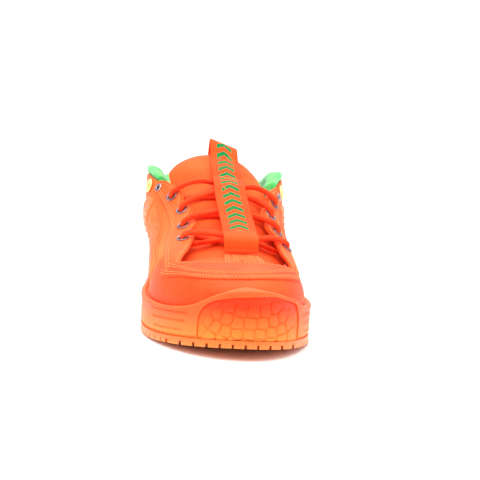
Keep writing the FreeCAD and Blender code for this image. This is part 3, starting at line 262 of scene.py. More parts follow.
def shell(name, P, off_in, off_out, body, mat, K=3, bulge=None):
    N = normal(P)
    O = P + N * (off_out[..., None] if isinstance(off_out, np.ndarray) else off_out)
    I = P + N * (off_in[..., None] if isinstance(off_in, np.ndarray) else off_in)
    V, F, uv = shell_arrays(O, I, K, bulge)
    return make(name, V, fix_faces(V, F), body, mat, uv)


def tube_mesh(C, ra, rb, seg, relief=None, side0=None, cap=True):
    """Closed tube along C (n,3) with half axes ra, rb (arrays or numbers)."""
    n = len(C)
    T = unit(np.gradient(C, axis=0))
    S = np.zeros_like(C)
    s = np.array(side0 if side0 is not None else (0, 0, 1.0), float)
    s = s - T[0] * s.dot(T[0])
    s /= np.linalg.norm(s)
    for i in range(n):
        s = s - T[i] * s.dot(T[i])
        s /= np.linalg.norm(s)
        S[i] = s
    U = np.cross(T, S)
    th = np.linspace(0, 2 * np.pi, seg, endpoint=False)
    ra = np.broadcast_to(np.asarray(ra, float), (n,))
    rb = np.broadcast_to(np.asarray(rb, float), (n,))
    L = cumlen(C)
    k = 1.0 if relief is None else relief(L[:, None], th[None, :])
    R = C[:, None] + (U[:, None] * (ra[:, None] * np.cos(th))[..., None] + S[:, None] * (rb[:, None] * np.sin(th))[..., None]) * (k[..., None] if relief is not None else 1.0)
    V = [R.reshape(-1, 3)]
    idx = np.arange(n * seg).reshape(n, seg)
    nx = np.roll(idx, -1, axis=1)
    F = [np.stack([idx[:-1], idx[1:], nx[1:], nx[:-1]], -1).reshape(-1, 4)]
    uv = np.stack(np.broadcast_arrays(L[:, None], th[None, :] * 2.0), -1).reshape(-1, 2)
    uvs = [uv]
    F = F[0].tolist()
    if cap:
        V.append(np.array([C[0] - T[0] * ra[0] * 0.4, C[-1] + T[-1] * ra[-1] * 0.4]))
        a, b = n * seg, n * seg + 1
        for j in range(seg):
            F.append([a, idx[0, j], nx[0, j]])
            F.append([b, nx[-1, j], idx[-1, j]])
        uvs.append(np.array([[0, 0], [L[-1], 0]]))
    return np.concatenate(V), F, np.concatenate(uvs)


def merge(parts):
    V, F, U, o = [], [], [], 0
    for v, f, u in parts:
        V.append(v)
        U.append(u)
        F += [[i + o for i in q] for q in (f if isinstance(f, list) else f.tolist())]
        o += len(v)
    return np.concatenate(V), F, np.concatenate(U)


def stitch_parts(C, N, pitch=2.7, length=2.0, width=0.62, height=0.42, sink=0.05):
    """Small rounded stitches along the curve C with surface normals N."""
    L = cumlen(C)
    n = max(2, int(L[-1] / pitch))
    out = []
    pos = (np.arange(n) + 0.5) * L[-1] / n
    a0 = np.stack([np.interp(pos - length / 2, L, C[:, c]) for c in range(3)], -1)
    a1 = np.stack([np.interp(pos + length / 2, L, C[:, c]) for c in range(3)], -1)
    nn = unit(np.stack([np.interp(pos, L, N[:, c]) for c in range(3)], -1))
    seg, ring = 7, 4
    base = []
    for i in range(ring):
        t = -0.86 + 1.72 * i / (ring - 1)
        r = math.sqrt(max(0.0, 1 - abs(t) ** 2.6))
        for j in range(seg):
            th = 2 * math.pi * j / seg
            base.append((t, r * math.cos(th), r * math.sin(th)))
    base.append((-1.0, 0, 0))
    base.append((1.0, 0, 0))
    base = np.array(base)
    f = []
    for i in range(ring - 1):
        for j in range(seg):
            k = (j + 1) % seg
            f.append([i * seg + j, i * seg + k, (i + 1) * seg + k, (i + 1) * seg + j])
    for j in range(seg):
        k = (j + 1) % seg
        f.append([ring * seg, k, j])
        f.append([ring * seg + 1, (ring - 1) * seg + j, (ring - 1) * seg + k])
    V, F = [], []
    for i in range(n):
        c = 0.5 * (a0[i] + a1[i]) + nn[i] * (sink)
        t = unit(a1[i] - a0[i])
        s = unit(np.cross(nn[i], t))
        m = np.linalg.norm(a1[i] - a0[i]) / 2
        V.append(c + base[:, :1] * t * m + base[:, 1:2] * s * width / 2 + base[:, 2:] * nn[i] * height)
        F += [[q + i * len(base) for q in ff] for ff in f]
    V = np.concatenate(V)
    return V, F, np.zeros((len(V), 2))


def line_on(P, off, h=None, s=None, s0=0.0, s1=1.0, h0=0.0, h1=1.0):
    """A curve across a grid at fraction h (along s) or at fraction s (along h), with its normals, lifted by off."""
    ns, nh = P.shape[:2]
    if h is not None:
        j = np.clip(h * (nh - 1), 0, nh - 1.001)
        k = int(j)
        C = P[:, k] * (1 - (j - k)) + P[:, k + 1] * (j - k)
        C = C[int(s0 * (ns - 1)):int(s1 * (ns - 1)) + 1]
    else:
        j = np.clip(s * (ns - 1), 0, ns - 1.001)
        k = int(j)
        C = P[k] * (1 - (j - k)) + P[k + 1] * (j - k)
        C = C[int(h0 * (nh - 1)):int(h1 * (nh - 1)) + 1]
    N = normal(C)
    return C + N * off, N


def inset_line(P, dist, off, edge="high", s0=0.0, s1=1.0):
    """A curve at a constant distance in from the grid's low or high edge."""
    out = []
    ns = P.shape[0]
    for i in range(int(s0 * (ns - 1)), int(s1 * (ns - 1)) + 1):
        C = P[i] if edge == "low" else P[i][::-1]
        L = cumlen(C)
        out.append([np.interp(dist, L, C[:, c]) for c in range(3)])
    C = np.array(out)
    N = normal(C)
    return C + N * off, N


def cut(ob, cutters):
    """Boolean difference with closed cylinders given as (centre, axis, radius, half length) in millimetres."""
    V, F, o = [], [], 0
    seg = 28
    for c, a, r, hl in cutters:
        a = unit(np.array(a, float))
        s = unit(np.cross(a, (0.3, 0.9, 0.1)))
        t = np.cross(a, s)
        th = np.linspace(0, 2 * np.pi, seg, endpoint=False)
        ring = np.array([math.cos(q) * s * r + math.sin(q) * t * r for q in th])
        V += [c + ring - a * hl, c + ring + a * hl]
        for j in range(seg):
            k = (j + 1) % seg
            F.append([o + j, o + k, o + seg + k, o + seg + j])
        F.append([o + j for j in range(seg)][::-1])
        F.append([o + seg + j for j in range(seg)])
        o += 2 * seg
    tool = make("cutter", np.concatenate(V), F, None, None, smooth=False)
    m = ob.modifiers.new("holes", "BOOLEAN")
    m.operation = "DIFFERENCE"
    m.solver = "EXACT"
    m.object = tool
    dg = bpy.context.evaluated_depsgraph_get()
    me = bpy.data.meshes.new_from_object(ob.evaluated_get(dg))
    ob.modifiers.clear()
    old = ob.data
    ob.data = me
    me.name = old.name
    bpy.data.meshes.remove(old)
    tm = tool.data
    bpy.data.objects.remove(tool)
    bpy.data.meshes.remove(tm)
    me.polygons.foreach_set("use_smooth", np.ones(len(me.polygons), dtype=bool))
    me.set_sharp_from_angle(angle=math.radians(50))


def wobble(P, scale, seed=0):
    """Smooth pseudo-noise from a few sines, about -1 to 1."""
    r = np.random.RandomState(100 + seed)
    out = 0
    for k in range(6):
        d = unit(r.normal(size=3)) / scale * (0.6 + 0.9 * r.rand())
        out = out + np.sin(P[..., 0] * d[0] * 6.283 + P[..., 1] * d[1] * 6.283 + P[..., 2] * d[2] * 6.283 + r.rand() * 6.283)
    return out / 6.0 * 1.6


# ---------------------------------------------------------------- materials
def lit(c, kg, kb):
    """A photographed colour taken back to a surface colour for this studio."""
    return (c[0] * 0.96, c[1] * kg, c[2] * kb, 1.0)


def srgb(r, g, b):
    return tuple((v / 255.0 / 12.92) if v / 255.0 <= 0.04045 else ((v / 255.0 + 0.055) / 1.055) ** 2.4 for v in (r, g, b)) + (1.0,)


class M:
    """A small builder around one Principled material."""

    def __init__(self, name, **sockets):
        self.m = bpy.data.materials.new(name)
        self.m.use_nodes = True
        self.nt = self.m.node_tree
        self.n = self.nt.nodes
        self.l = self.nt.links
        self.b = self.n["Principled BSDF"]
        self.set(**sockets)
        self.tc = self.n.new("ShaderNodeTexCoord")
        self.bumps = []

    def set(self, **sockets):
        for k, v in sockets.items():
            self.b.inputs[k.replace("_", " ")].default_value = v

    def noise(self, scale, detail=3.0, rough=0.5, src="Object", distortion=0.0):
        t = self.n.new("ShaderNodeTexNoise")
        t.inputs["Scale"].default_value = scale
        t.inputs["Detail"].default_value = detail
        t.inputs["Roughness"].default_value = rough
        t.inputs["Distortion"].default_value = distortion
        self.l.new(self.tc.outputs[src], t.inputs["Vector"])
        return t.outputs["Fac"]

    def voronoi(self, scale, feature="F1", src="Object", out="Distance", rnd=1.0):
        t = self.n.new("ShaderNodeTexVoronoi")
        t.feature = feature
        t.inputs["Scale"].default_value = scale
        t.inputs["Randomness"].default_value = rnd
        self.l.new(self.tc.outputs[src], t.inputs["Vector"])
        return t.outputs[out]

    def ramp(self, fac, stops):
        r = self.n.new("ShaderNodeValToRGB")
        while len(r.color_ramp.elements) < len(stops):
            r.color_ramp.elements.new(0.5)
        for e, (p, c) in zip(r.color_ramp.elements, stops):
            e.position = p
            e.color = c
        self.l.new(fac, r.inputs["Fac"])
        return r.outputs["Color"]

    def math(self, op, a, b=None, c=None, clamp=False):
        t = self.n.new("ShaderNodeMath")
        t.operation = op
        t.use_clamp = clamp
        for i, v in enumerate((a, b, c)):
            if v is None:
                continue
            if isinstance(v, (int, float)):
                t.inputs[i].default_value = v
            else:
                self.l.new(v, t.inputs[i])
        return t.outputs[0]

    def mix(self, fac, a, b):
        t = self.n.new("ShaderNodeMix")
        t.data_type = "RGBA"
        if isinstance(fac, (int, float)):
            t.inputs[0].default_value = fac
        else:
            self.l.new(fac, t.inputs[0])
        for i, v in ((6, a), (7, b)):
            if isinstance(v, tuple):
                t.inputs[i].default_value = v
            else:
                self.l.new(v, t.inputs[i])
        return t.outputs[2]

    def color(self, out):
        self.l.new(out, self.b.inputs["Base Color"])

    def rough(self, fac, lo, hi):
        t = self.n.new("ShaderNodeMapRange")
        t.inputs["To Min"].default_value = lo
        t.inputs["To Max"].default_value = hi
        self.l.new(fac, t.inputs["Value"])
        self.l.new(t.outputs[0], self.b.inputs["Roughness"])

    def bump(self, height, strength, dist):
        t = self.n.new("ShaderNodeBump")
        t.inputs["Strength"].default_value = strength
        t.inputs["Distance"].default_value = dist
        self.l.new(height, t.inputs["Height"])
        if self.bumps:
            self.l.new(self.bumps[-1].outputs["Normal"], t.inputs["Normal"])
        self.bumps.append(t)
        self.l.new(t.outputs["Normal"], self.b.inputs["Normal"])

    def sep(self, src="UV"):
        t = self.n.new("ShaderNodeSeparateXYZ")
        self.l.new(self.tc.outputs[src], t.inputs[0])
        return t.outputs


def leather(name, c0, c1, c2, grain=1.0, rough=(0.42, 0.6), sheen=0.25):
    m = M(name, Specular_IOR_Level=0.22, Specular_Tint=(1.0, 0.58, 0.38, 1.0), Sheen_Weight=sheen, Sheen_Roughness=0.45, Sheen_Tint=(1.0, 0.58, 0.38, 1.0))
    big = m.noise(28.0, 2.0)
    fine = m.noise(520.0, 4.0, 0.6)
    base = m.ramp(big, [(0.30, c0), (0.5, c1), (0.72, c2)])
    speck = m.math("MULTIPLY", m.math("SUBTRACT", fine, 0.5), 0.9)
    m.color(m.mix(m.math("ADD", 0.12, speck, clamp=True), base, tuple(min(1.0, v * 1.2 + 0.012) for v in c2[:3]) + (1.0,)))
    m.rough(fine, *rough)
    cells = m.voronoi(1150.0 / grain, "F1")
    pores = m.voronoi(620.0 / grain, "DISTANCE_TO_EDGE")
    m.bump(big, 0.15, 0.0008)
    m.bump(cells, 0.22 * grain, 0.00018)
    m.bump(pores, 0.16 * grain, 0.00012)
    m.bump(fine, 0.18, 0.00012)
    return m.m


OR = dict(
    vamp=(srgb(247, 84, 34), srgb(251, 99, 45), srgb(252, 120, 60)),
    quarter=(srgb(247, 112, 52), srgb(250, 128, 66), srgb(252, 146, 84)),
    stay=(srgb(247, 104, 46), srgb(250, 122, 60), srgb(252, 140, 78)),
    tongue=(srgb(248, 92, 38), srgb(252, 108, 50), srgb(253, 126, 66)),
)
for k_ in OR:
    OR[k_] = tuple(lit(c, 0.60 if k_ in ("quarter", "tongue") else 0.52, 0.40) for c in OR[k_])
mat_vamp = leather("upper_leather", *OR["vamp"], sheen=0.06)
mat_quarter = leather("quarter_leather", *OR["quarter"], sheen=0.06)
mat_stay = leather("overlay_leather", *OR["stay"], grain=0.85, sheen=0.06)
mat_tongue = leather("tongue_leather", *OR["tongue"], grain=1.3, rough=(0.5, 0.7), sheen=0.12)


def rubber(name, c0, c1, low=None, rough=(0.32, 0.5), sss=0.25, coat=0.08, span=(0.004, 0.024)):
    m = M(name, Specular_IOR_Level=0.32, Specular_Tint=(1.0, 0.58, 0.38, 1.0), Subsurface_Weight=sss, Subsurface_Scale=0.006, Coat_Weight=coat * 0.6, Coat_Roughness=0.4)
    m.set(Subsurface_Radius=(1.0, 0.34, 0.12))
    big = m.noise(35.0, 2.0)
    base = m.ramp(big, [(0.3, c0), (0.7, c1)])
    if low is not None:
        o = m.sep("Object")
        up = m.math("MAXIMUM", m.math("DIVIDE", m.math("SUBTRACT", -0.062, o[1]), 0.088), 0.0)
        z = m.math("SUBTRACT", o[2], m.math("MULTIPLY", m.math("MULTIPLY", up, up), 0.008))
        f = m.n.new("ShaderNodeMapRange")
        f.inputs["From Min"].default_value = span[1]
        f.inputs["From Max"].default_value = span[0]
        m.l.new(z, f.inputs["Value"])
        base = m.mix(f.outputs[0], base, low)
    m.color(base)
    fine = m.noise(900.0, 3.0, 0.55)
    m.rough(m.noise(160.0, 3.0), *rough)
    m.bump(fine, 0.12, 0.00012)
    m.bump(m.noise(90.0, 2.0), 0.08, 0.0006)
    return m.m


mat_cup = rubber("cupsole_rubber", lit(srgb(252, 110, 60), 0.66, 0.48), lit(srgb(253, 124, 70), 0.66, 0.48), lit(srgb(255, 154, 84), 0.8, 0.55), rough=(0.4, 0.55), sss=0.2, span=(0.004, 0.020))
mat_bumper = rubber("bumper_rubber", lit(srgb(252, 78, 38), 0.55, 0.4), lit(srgb(253, 90, 44), 0.55, 0.4), lit(srgb(255, 158, 78), 0.8, 0.55), rough=(0.4, 0.55), sss=0.22, span=(0.003, 0.026))
mat_tread = rubber("outsole_rubber", lit(srgb(253, 132, 60), 0.62, 0.5), lit(srgb(254, 144, 68), 0.62, 0.5), lit(srgb(255, 168, 96), 0.68, 0.6), rough=(0.22, 0.38), sss=0.4, coat=0.15, span=(-0.0005, 0.0055))


def cloth(name, c0, c1, scale=700.0, rough=0.85, sheen=0.5, strength=0.5):
    m = M(name, Specular_IOR_Level=0.2, Sheen_Weight=sheen, Sheen_Roughness=0.5, Roughness=rough)
    o = m.sep("Object")
    a = m.math("SINE", m.math("MULTIPLY", m.math("ADD", o[0], o[1]), scale * 6.2832))
    b = m.math("SINE", m.math("MULTIPLY", m.math("ADD", o[2], m.math("SUBTRACT", o[1], o[0])), scale * 6.2832))
    w = m.math("MULTIPLY", a, b)
    m.color(m.ramp(m.math("MULTIPLY_ADD", w, 0.35, m.noise(60.0, 2.0)), [(0.2, c0), (0.8, c1)]))
    m.bump(w, strength, 0.00025)
    m.bump(m.noise(1500.0, 2.0), 0.3, 0.00015)
    return m.m


mat_lining = cloth("lining_cloth", srgb(236, 96, 52), srgb(250, 132, 80), 420.0)
mat_board = cloth("board", srgb(212, 206, 188), srgb(232, 228, 214), 300.0)
mat_sock = cloth("sockliner_cloth", srgb(52, 168, 88), srgb(96, 206, 122), 380.0)
mat_foam = rubber("foam", srgb(226, 220, 206), srgb(240, 236, 226), None, rough=(0.7, 0.85), sss=0.1, coat=0.0)
mat_stiff = cloth("stiffener", srgb(214, 208, 196), srgb(232, 226, 214), 250.0)


def terry():
    m = M("terry_green", Specular_IOR_Level=0.12, Sheen_Weight=0.8, Sheen_Roughness=0.4, Roughness=0.95)
    n1 = m.voronoi(900.0, "F1")
    n2 = m.noise(420.0, 4.0, 0.7)
    big = m.noise(70.0, 2.0)
    c = m.ramp(m.math("MULTIPLY_ADD", n2, 0.6, m.math("MULTIPLY", big, 0.5)), [(0.30, srgb(34, 152, 66)), (0.55, srgb(72, 206, 100)), (0.8, srgb(140, 234, 150))])
    m.color(c)
    m.bump(n2, 0.8, 0.0006)
    m.bump(n1, 0.7, 0.0005)
    return m.m


mat_terry = terry()


def webbing_mat(name, base0, base1, printed=None):
    """Woven webbing: u runs along the band, v across it, both in millimetres."""
    m = M(name, Specular_IOR_Level=0.15, Specular_Tint=(1.0, 0.58, 0.38, 1.0), Sheen_Weight=0.06, Sheen_Roughness=0.5, Roughness=0.75)
    u, v = m.sep("UV")[0], m.sep("UV")[1]
    rib = m.math("SINE", m.math("MULTIPLY", v, 6.2832 / 1.15))
    # herringbone-like weave along the ribs
    tw = m.math("SINE", m.math("MULTIPLY_ADD", u, 6.2832 / 0.95, m.math("MULTIPLY", rib, 1.6)))
    h = m.math("MULTIPLY_ADD", tw, 0.45, m.math("MULTIPLY", rib, 0.55))
    col = m.ramp(m.math("MULTIPLY_ADD", h, 0.16, m.noise(45.0, 3.0)), [(0.25, base0), (0.75, base1)])
    if printed is not None:
        # one bold chevron after another down the middle of the band
        k = m.math("ABSOLUTE", v)
        inside = m.math("LESS_THAN", k, 6.6)
        ph = m.math("DIVIDE", m.math("ADD", m.math("ADD", u, m.math("MULTIPLY", k, 0.62)), 400.0), 7.8)
        pat = m.math("LESS_THAN", m.math("FRACT", ph), 0.5)
        worn = m.math("GREATER_THAN", m.math("MULTIPLY_ADD", h, 0.05, m.noise(300.0, 3.0)), 0.30)
        mask = m.math("MULTIPLY", m.math("MULTIPLY", pat, inside), worn)
        col = m.mix(mask, col, srgb(*printed))
    m.color(col)
    m.bump(h, 0.55, 0.00022)
    m.bump(m.noise(1600.0, 2.0), 0.25, 0.0001)
    return m.m


mat_strap = webbing_mat("webbing_printed", lit(srgb(252, 88, 38), 0.62, 0.45), lit(srgb(253, 104, 48), 0.62, 0.45), (14, 128, 66))
mat_web = webbing_mat("webbing_plain", lit(srgb(252, 92, 42), 0.62, 0.45), lit(srgb(253, 108, 52), 0.62, 0.45))


def lace_mat():
    m = M("lace_cord", Specular_IOR_Level=0.15, Specular_Tint=(1.0, 0.58, 0.38, 1.0), Sheen_Weight=0.1, Sheen_Roughness=0.45, Roughness=0.78)
    u, v = m.sep("UV")[0], m.sep("UV")[1]
    a = m.math("SINE", m.math("MULTIPLY_ADD", u, 6.2832 / 1.3, m.math("MULTIPLY", v, 3.0)))
    b = m.math("SINE", m.math("MULTIPLY_ADD", u, 6.2832 / 1.3, m.math("MULTIPLY", v, -3.0)))
    h = m.math("MAXIMUM", a, b)
    m.color(m.ramp(m.math("MULTIPLY_ADD", h, 0.22, m.noise(90.0, 2.0)), [(0.25, lit(srgb(242, 62, 26), 0.72, 0.6)), (0.75, lit(srgb(253, 94, 50), 0.72, 0.6))]))
    m.bump(h, 0.5, 0.00022)
    m.bump(m.noise(1800.0, 2.0), 0.3, 0.0001)
    return m.m


mat_lace = lace_mat()


def metal(name, c0, c1, rough=(0.18, 0.35), metallic=1.0):
    m = M(name, Metallic=metallic, Specular_IOR_Level=0.5)
    m.color(m.ramp(m.noise(300.0, 3.0), [(0.35, c0), (0.65, c1)]))
    m.rough(m.noise(500.0, 4.0), *rough)
    m.bump(m.noise(1200.0, 3.0), 0.12, 0.00008)
    return m.m


mat_eyelet = metal("eyelet_rim", srgb(132, 108, 112), srgb(176, 150, 156), (0.24, 0.4), 0.85)
mat_ring = metal("silver_ring", srgb(168, 158, 162), srgb(206, 196, 200))
mat_brass = metal("brass_grommet", srgb(240, 214, 128), srgb(252, 234, 160), (0.28, 0.42), 0.15)
# painted shade: this dark colour stands in for the shadow inside the eyelet holes (the material is not used on any
# mesh)
mat_eyelet_hole_shade = metal("eyelet_hole_painted_shade", srgb(70, 38, 40), srgb(92, 52, 52), (0.5, 0.7), 0.3)


def thread(name, c0, c1):
    m = M(name, Specular_IOR_Level=0.25, Sheen_Weight=0.3, Roughness=0.65)
    o = m.sep("Object")
    tw = m.math("SINE", m.math("MULTIPLY", m.math("ADD", m.math("ADD", o[0], o[1]), o[2]), 6.2832 / 0.0005))
    m.color(m.ramp(m.math("MULTIPLY_ADD", tw, 0.3, m.noise(200.0, 2.0)), [(0.2, c0), (0.8, c1)]))
    m.bump(tw, 0.4, 0.0001)
    return m.m


mat_thread = thread("thread_orange", lit(srgb(252, 138, 74), 0.85, 0.7), lit(srgb(255, 172, 108), 0.85, 0.7))
mat_thread2 = thread("thread_deep", srgb(244, 84, 40), srgb(250, 110, 60))
mat_ribfilm = leather("rib_film", lit(srgb(251, 128, 70), 0.66, 0.55), lit(srgb(252, 140, 84), 0.66, 0.55), lit(srgb(253, 156, 104), 0.66, 0.55), grain=0.6, rough=(0.25, 0.4), sheen=0.1)
mat_edge = leather("raw_edge", srgb(250, 148, 70), srgb(252, 160, 80), srgb(253, 172, 92), grain=0.6)

SK, OV, LG, LAP = 1.6, 1.2, 1.0, 0.35
STITCH = []
STITCH2 = []

# ---------------------------------------------------------------- sole
TREAD = 5.0


def spring(y):
    t = np.clip((-y - 62) / 88.0, 0, 1.2)
    return 8.0 * t * t


SXL = [(-150, -45), (-110, -50.5), (-75, -54), (-50, -54), (-20, -50.5), (10, -47), (40, -45), (70, -44), (100, -44), (150, -43.5)]
SXM = [(-150, 52), (-110, 54), (-80, 54.8), (-50, 51), (-20, 45), (10, 42), (40, 40.5), (70, 40), (100, 40), (150, 40)]
SC = [(-150, 8), (-110, 5), (-60, 1), (-20, -1.5), (60, -2), (150, -2)]
LIP = [(-150, 44.0), (-143, 42.5), (-136, 38.5), (-129, 33.0), (-122, 29.3), (-114, 28.5), (-60, 28.5), (-10, 27.5), (40, 28.0), (100, 30.5), (150, 32.0)]


def sole_pt(t, inset=0.0):
    y = (150.0 - inset) * np.cos(2 * np.pi * t)
    lat = (t % 1.0) < 0.5
    c = tab(SC, y)
    w = np.abs(np.where(lat, tab(SXL, y), tab(SXM, y)) - c) - inset
    a = e2((y + 150 - inset) / 84.0, 2.15)
    b = e2((150 - inset - y) / 46.0, 2.3)
    w = w * np.sqrt(np.maximum(a, 0) * np.maximum(b, 0))
    return np.stack([np.where(lat, c - w, c + w), y], -1)


# stations: evenly walked, denser round the toe; t from 0 (heel centre) over lateral, toe, medial
td = np.linspace(0, 1, 4001)
OD = sole_pt(td)
OL = cumlen(OD)
PER = OL[-1]


def at_len(l):
    return np.stack([np.interp(l, OL, OD[:, 0]), np.interp(l, OL, OD[:, 1])], -1)


toe_len = OL[2000]
# arc position of a point of the front half given its x
front = slice(1000, 3001)


def len_of_x(x):
    xs, ls = OD[front, 0], OL[front]
    sel = (ls > toe_len - 78) & (ls < toe_len + 78)
    return np.interp(x, xs[sel], ls[sel])


LW, RW = float(len_of_x(-22.5)), float(len_of_x(43.5))
nst = 760
st = np.linspace(0, PER, nst, endpoint=False)
st = st[(np.abs(st - LW) > 0.35) & (np.abs(st - RW) > 0.35)]
st = np.sort(np.concatenate([st, [LW - 0.25, LW, LW + 0.05, RW - 0.05, RW, RW + 0.25], LW + np.array([0.12, 0.2, 0.3, 0.55, 0.7, 0.85]), RW - np.array([0.12, 0.2, 0.3, 0.55, 0.7, 0.85])]))
st = st[np.concatenate([[True], np.diff(st) > 0.015])]
inwin = (st > LW + 0.01) & (st < RW - 0.01)
XY = at_len(st)
e = 0.8
TG2 = unit(at_len(np.mod(st + e, PER)) - at_len(np.mod(st - e, PER)))
NO = np.stack([TG2[:, 1], -TG2[:, 0]], -1)
if np.mean(np.sum(NO * (XY - XY.mean(0)), 1)) < 0:
    NO = -NO
Y = XY[:, 1]
LIP_L = [(-150, 45.4), (-147, 42.9), (-142.4, 38.8), (-136.6, 33.6), (-129, 29.8), (-120, 27.6), (-105, 25.6), (-85, 24.6), (-60, 24.2), (-10, 24.4), (40, 26.0), (100, 29.5), (150, 32.0)]
LIP_M = [(-150, 45.4), (-146, 44.1), (-137.2, 40.2), (-129, 37.2), (-122, 34.0), (-114, 30.4), (-105, 27.8), (-90, 26.4), (-60, 25.4), (-10, 25.0), (40, 26.0), (100, 29.5), (150, 32.0)]
lat_side = st < toe_len
lipz = np.where(lat_side, tab(LIP_L, Y), tab(LIP_M, Y))
kk9 = np.ones(9) / 9.0
lipz = np.convolve(np.concatenate([lipz[-4:], lipz, lipz[:4]]), kk9, "valid")
zb = spring(Y) + TREAD + 0.05
# distance inwards from the outline to the upper, at the lip's height
lo = np.zeros(len(st))
hi = np.full(len(st), 26.0)
for _ in range(26):
    m = 0.5 * (lo + hi)
    X3 = XY - NO * m[:, None]
    ins = phi(X3[:, 0], X3[:, 1], lipz - 0.5) < 0
    hi = np.where(ins, m, hi)
    lo = np.where(ins, lo, m)
gap = np.clip(hi - 0.25, 1.2, 20.0)
k = np.ones(9) / 9.0
gap = np.convolve(np.concatenate([gap[-4:], gap, gap[:4]]), k, "valid")
# lens-shaped window for the bumper
mid = 0.5 * (LW + RW)
q = np.clip(1 - ((st - mid) / (0.5 * (RW - LW))) ** 2, 0, 1)
ztop = np.where(inwin, np.minimum(zb + 3.5 + (41.0 - 3.5 - zb) * q ** 0.27, lipz - 2.6), zb + (lipz - zb) * 0.72)
blend = np.clip(1 - np.minimum(np.abs(st - LW), np.abs(st - RW)) / 14.0, 0, 1)
out_zone = ~inwin
zt_out = zb + (lipz - zb) * 0.72
ztop = np.where(out_zone, zt_out + (zb + 3.5 - zt_out) * sstep(blend), ztop)

RECESS = 1.5


def wall_offset(l, y, z, zbv, lipv):
    """Outward offset of the side wall."""
    o = -1.3 * (1 - sstep((z - zbv) / 3.2)) ** 2
    o = o + 0.55 * np.exp(-((z - (lipv - 2.0)) / 1.5) ** 2)
    sp = spring(y)
    # engraved lines on both sides of the toe, and at the heel
    def groove(l0, l1, zc, w=0.75, d=0.85):
        ends = sstep((l - l0) / 3.0) * sstep((l1 - l) / 3.0)
        return -d * ends * np.exp(-((z - zc) / w) ** 4)
    for zc, grow in ((21.0, 0.0), (15.6, 2.0), (9.9, 4.5)):
        o = o + groove(LAT_A + grow, LAT_B - grow, zc + sp)
        o = o + groove(MED_A + grow, MED_B - grow, zc + sp)
        o = o + groove(30.0 + grow, 84.0 - grow, zc + 0.5)
        o = o + groove(PER - 84.0 + grow, PER - 30.0 - grow, zc + 0.5)
    # a long shallow channel along the waist on both sides
    for a, b in ((105.0, LAT_A - 22), (MED_B + 22, PER - 105.0)):
        o = o + groove(a, b, 15.5 + sp, 1.1, 0.6)
        o = o + groove(a + 6, b - 6, 19.0 + sp, 0.6, 0.4)
    return o


LAT_B = float(len_of_x(-25.0)) - 3.5
LAT_A = LAT_B - 45.0
MED_A = float(len_of_x(45.0)) + 3.5
MED_B = MED_A + 42.0

rowsV = []
nlow, nup = 46, 14
for j in range(nlow):
    f = j / (nlow - 1.0)
    z = zb + (ztop - zb) * f
    o = wall_offset(st, Y, z, zb, lipz)
    o = np.where(inwin, o * 0.0 - RECESS, o)
    rowsV.append((z, o))
for j in range(nup):
    f = j / (nup - 1.0)
    z = ztop + 0.04 + (lipz - 1.6 - ztop - 0.04) * f
    o = wall_offset(st, Y, z, zb, lipz)
    rowsV.append((z, o))
ring = [np.column_stack([XY + NO * o[:, None], z]) for z, o in rowsV]
# rounded lip, then the top edge running in to the upper
for a, (dz, do) in enumerate([(-0.9, 0.32), (-0.35, -0.25), (-0.05, -1.0), (0.05, -1.9)]):
    o = do + 0.25 * np.exp(-0) * 0
    ring.append(np.column_stack([XY + NO * (np.full(len(st), do))[:, None], lipz + dz]))
for f, dz in ((0.35, -0.15), (0.6, -0.45), (0.85, -0.55), (1.0, -0.35)):
    d = -(1.9 + (gap - 1.9) * f)
    ring.append(np.column_stack([XY + NO * d[:, None], lipz + dz]))
for f in (0.25, 0.55, 0.8, 1.0):
    z = lipz - 0.8 + (zb + 3.7 - lipz + 0.8) * f
    # follow the upper down inside
    lo = np.zeros(len(st)); hi = np.full(len(st), 26.0)
    for _ in range(22):
        m = 0.5 * (lo + hi)
        X3 = XY - NO * m[:, None]
        ins = phi(X3[:, 0], X3[:, 1], z) < 0
        hi = np.where(ins, m, hi); lo = np.where(ins, lo, m)
    g2 = np.clip(hi - 0.3, RECESS + 0.8, 20)
    g2 = np.convolve(np.concatenate([g2[-4:], g2, g2[:4]]), k, "valid")
    ring.append(np.column_stack([XY - NO * g2[:, None], z]))
inner = ring[-1].copy()
inner[:, 2] = zb
ring.append(inner)
R = np.stack(ring)
nr, nsn = R.shape[:2]
V = R.reshape(-1, 3)
idx = np.arange(nr * nsn).reshape(nr, nsn)
nx = np.roll(idx, -1, axis=1)
F = []
for a in range(nr):
    b = (a + 1) % nr
    F.append(np.stack([idx[a], nx[a], nx[b], idx[b]], -1))
F = fix_faces(V, np.concatenate(F))
cup = make("cupsole_body", V, F, "shoe", mat_cup, np.column_stack([np.tile(st, nr), V[:, 2]]), sharp=38)

# toe bumper: a lens-shaped pad with rounded cells
CELLS = [(-3.7, 34.0), (4.4, 32.5), (11.9, 31.8), (19.6, 32.2), (26.6, 34.0), (-11.1, 28.6), (-4.5, 26.3), (2.1, 23.7), (10.5, 23.7), (18.2, 23.6), (25.7, 24.6), (31.4, 26.9), (-15.9, 23.3), (-11.6, 20.5), (-5.0, 17.9), (2.1, 16.7), (9.6, 16.4), (16.9, 17.0), (24.2, 17.7), (31.2, 18.9), (36.3, 21.9), (-14.8, 12.7), (-7.7, 11.2), (-1.0, 10.9), (7.7, 10.6), (15.9, 11.0), (23.7, 11.3), (31.9, 11.9), (38.7, 13.5)]
BLANK = [(-12.0, 35.0), (-4.5, 40.5), (4.0, 40.0), (12.0, 39.5), (20.0, 40.0), (28.0, 40.5), (34.5, 35.5), (-18.5, 30.5), (38.5, 29.5), (-21.5, 18.0), (-21.5, 25.0), (42.0, 25.0), (43.0, 18.0)]
cc = np.array([(len_of_x(x), z) for x, z in CELLS] + [(len_of_x(x), z) for x, z in BLANK])
nu, nv = 300, 150
tt_ = np.linspace(-1, 1, nu)
ul = mid + (0.5 * (RW - LW) - 0.12) * np.sign(tt_) * (1 - (1 - np.abs(tt_)) ** 1.12)
BXY = at_len(ul)
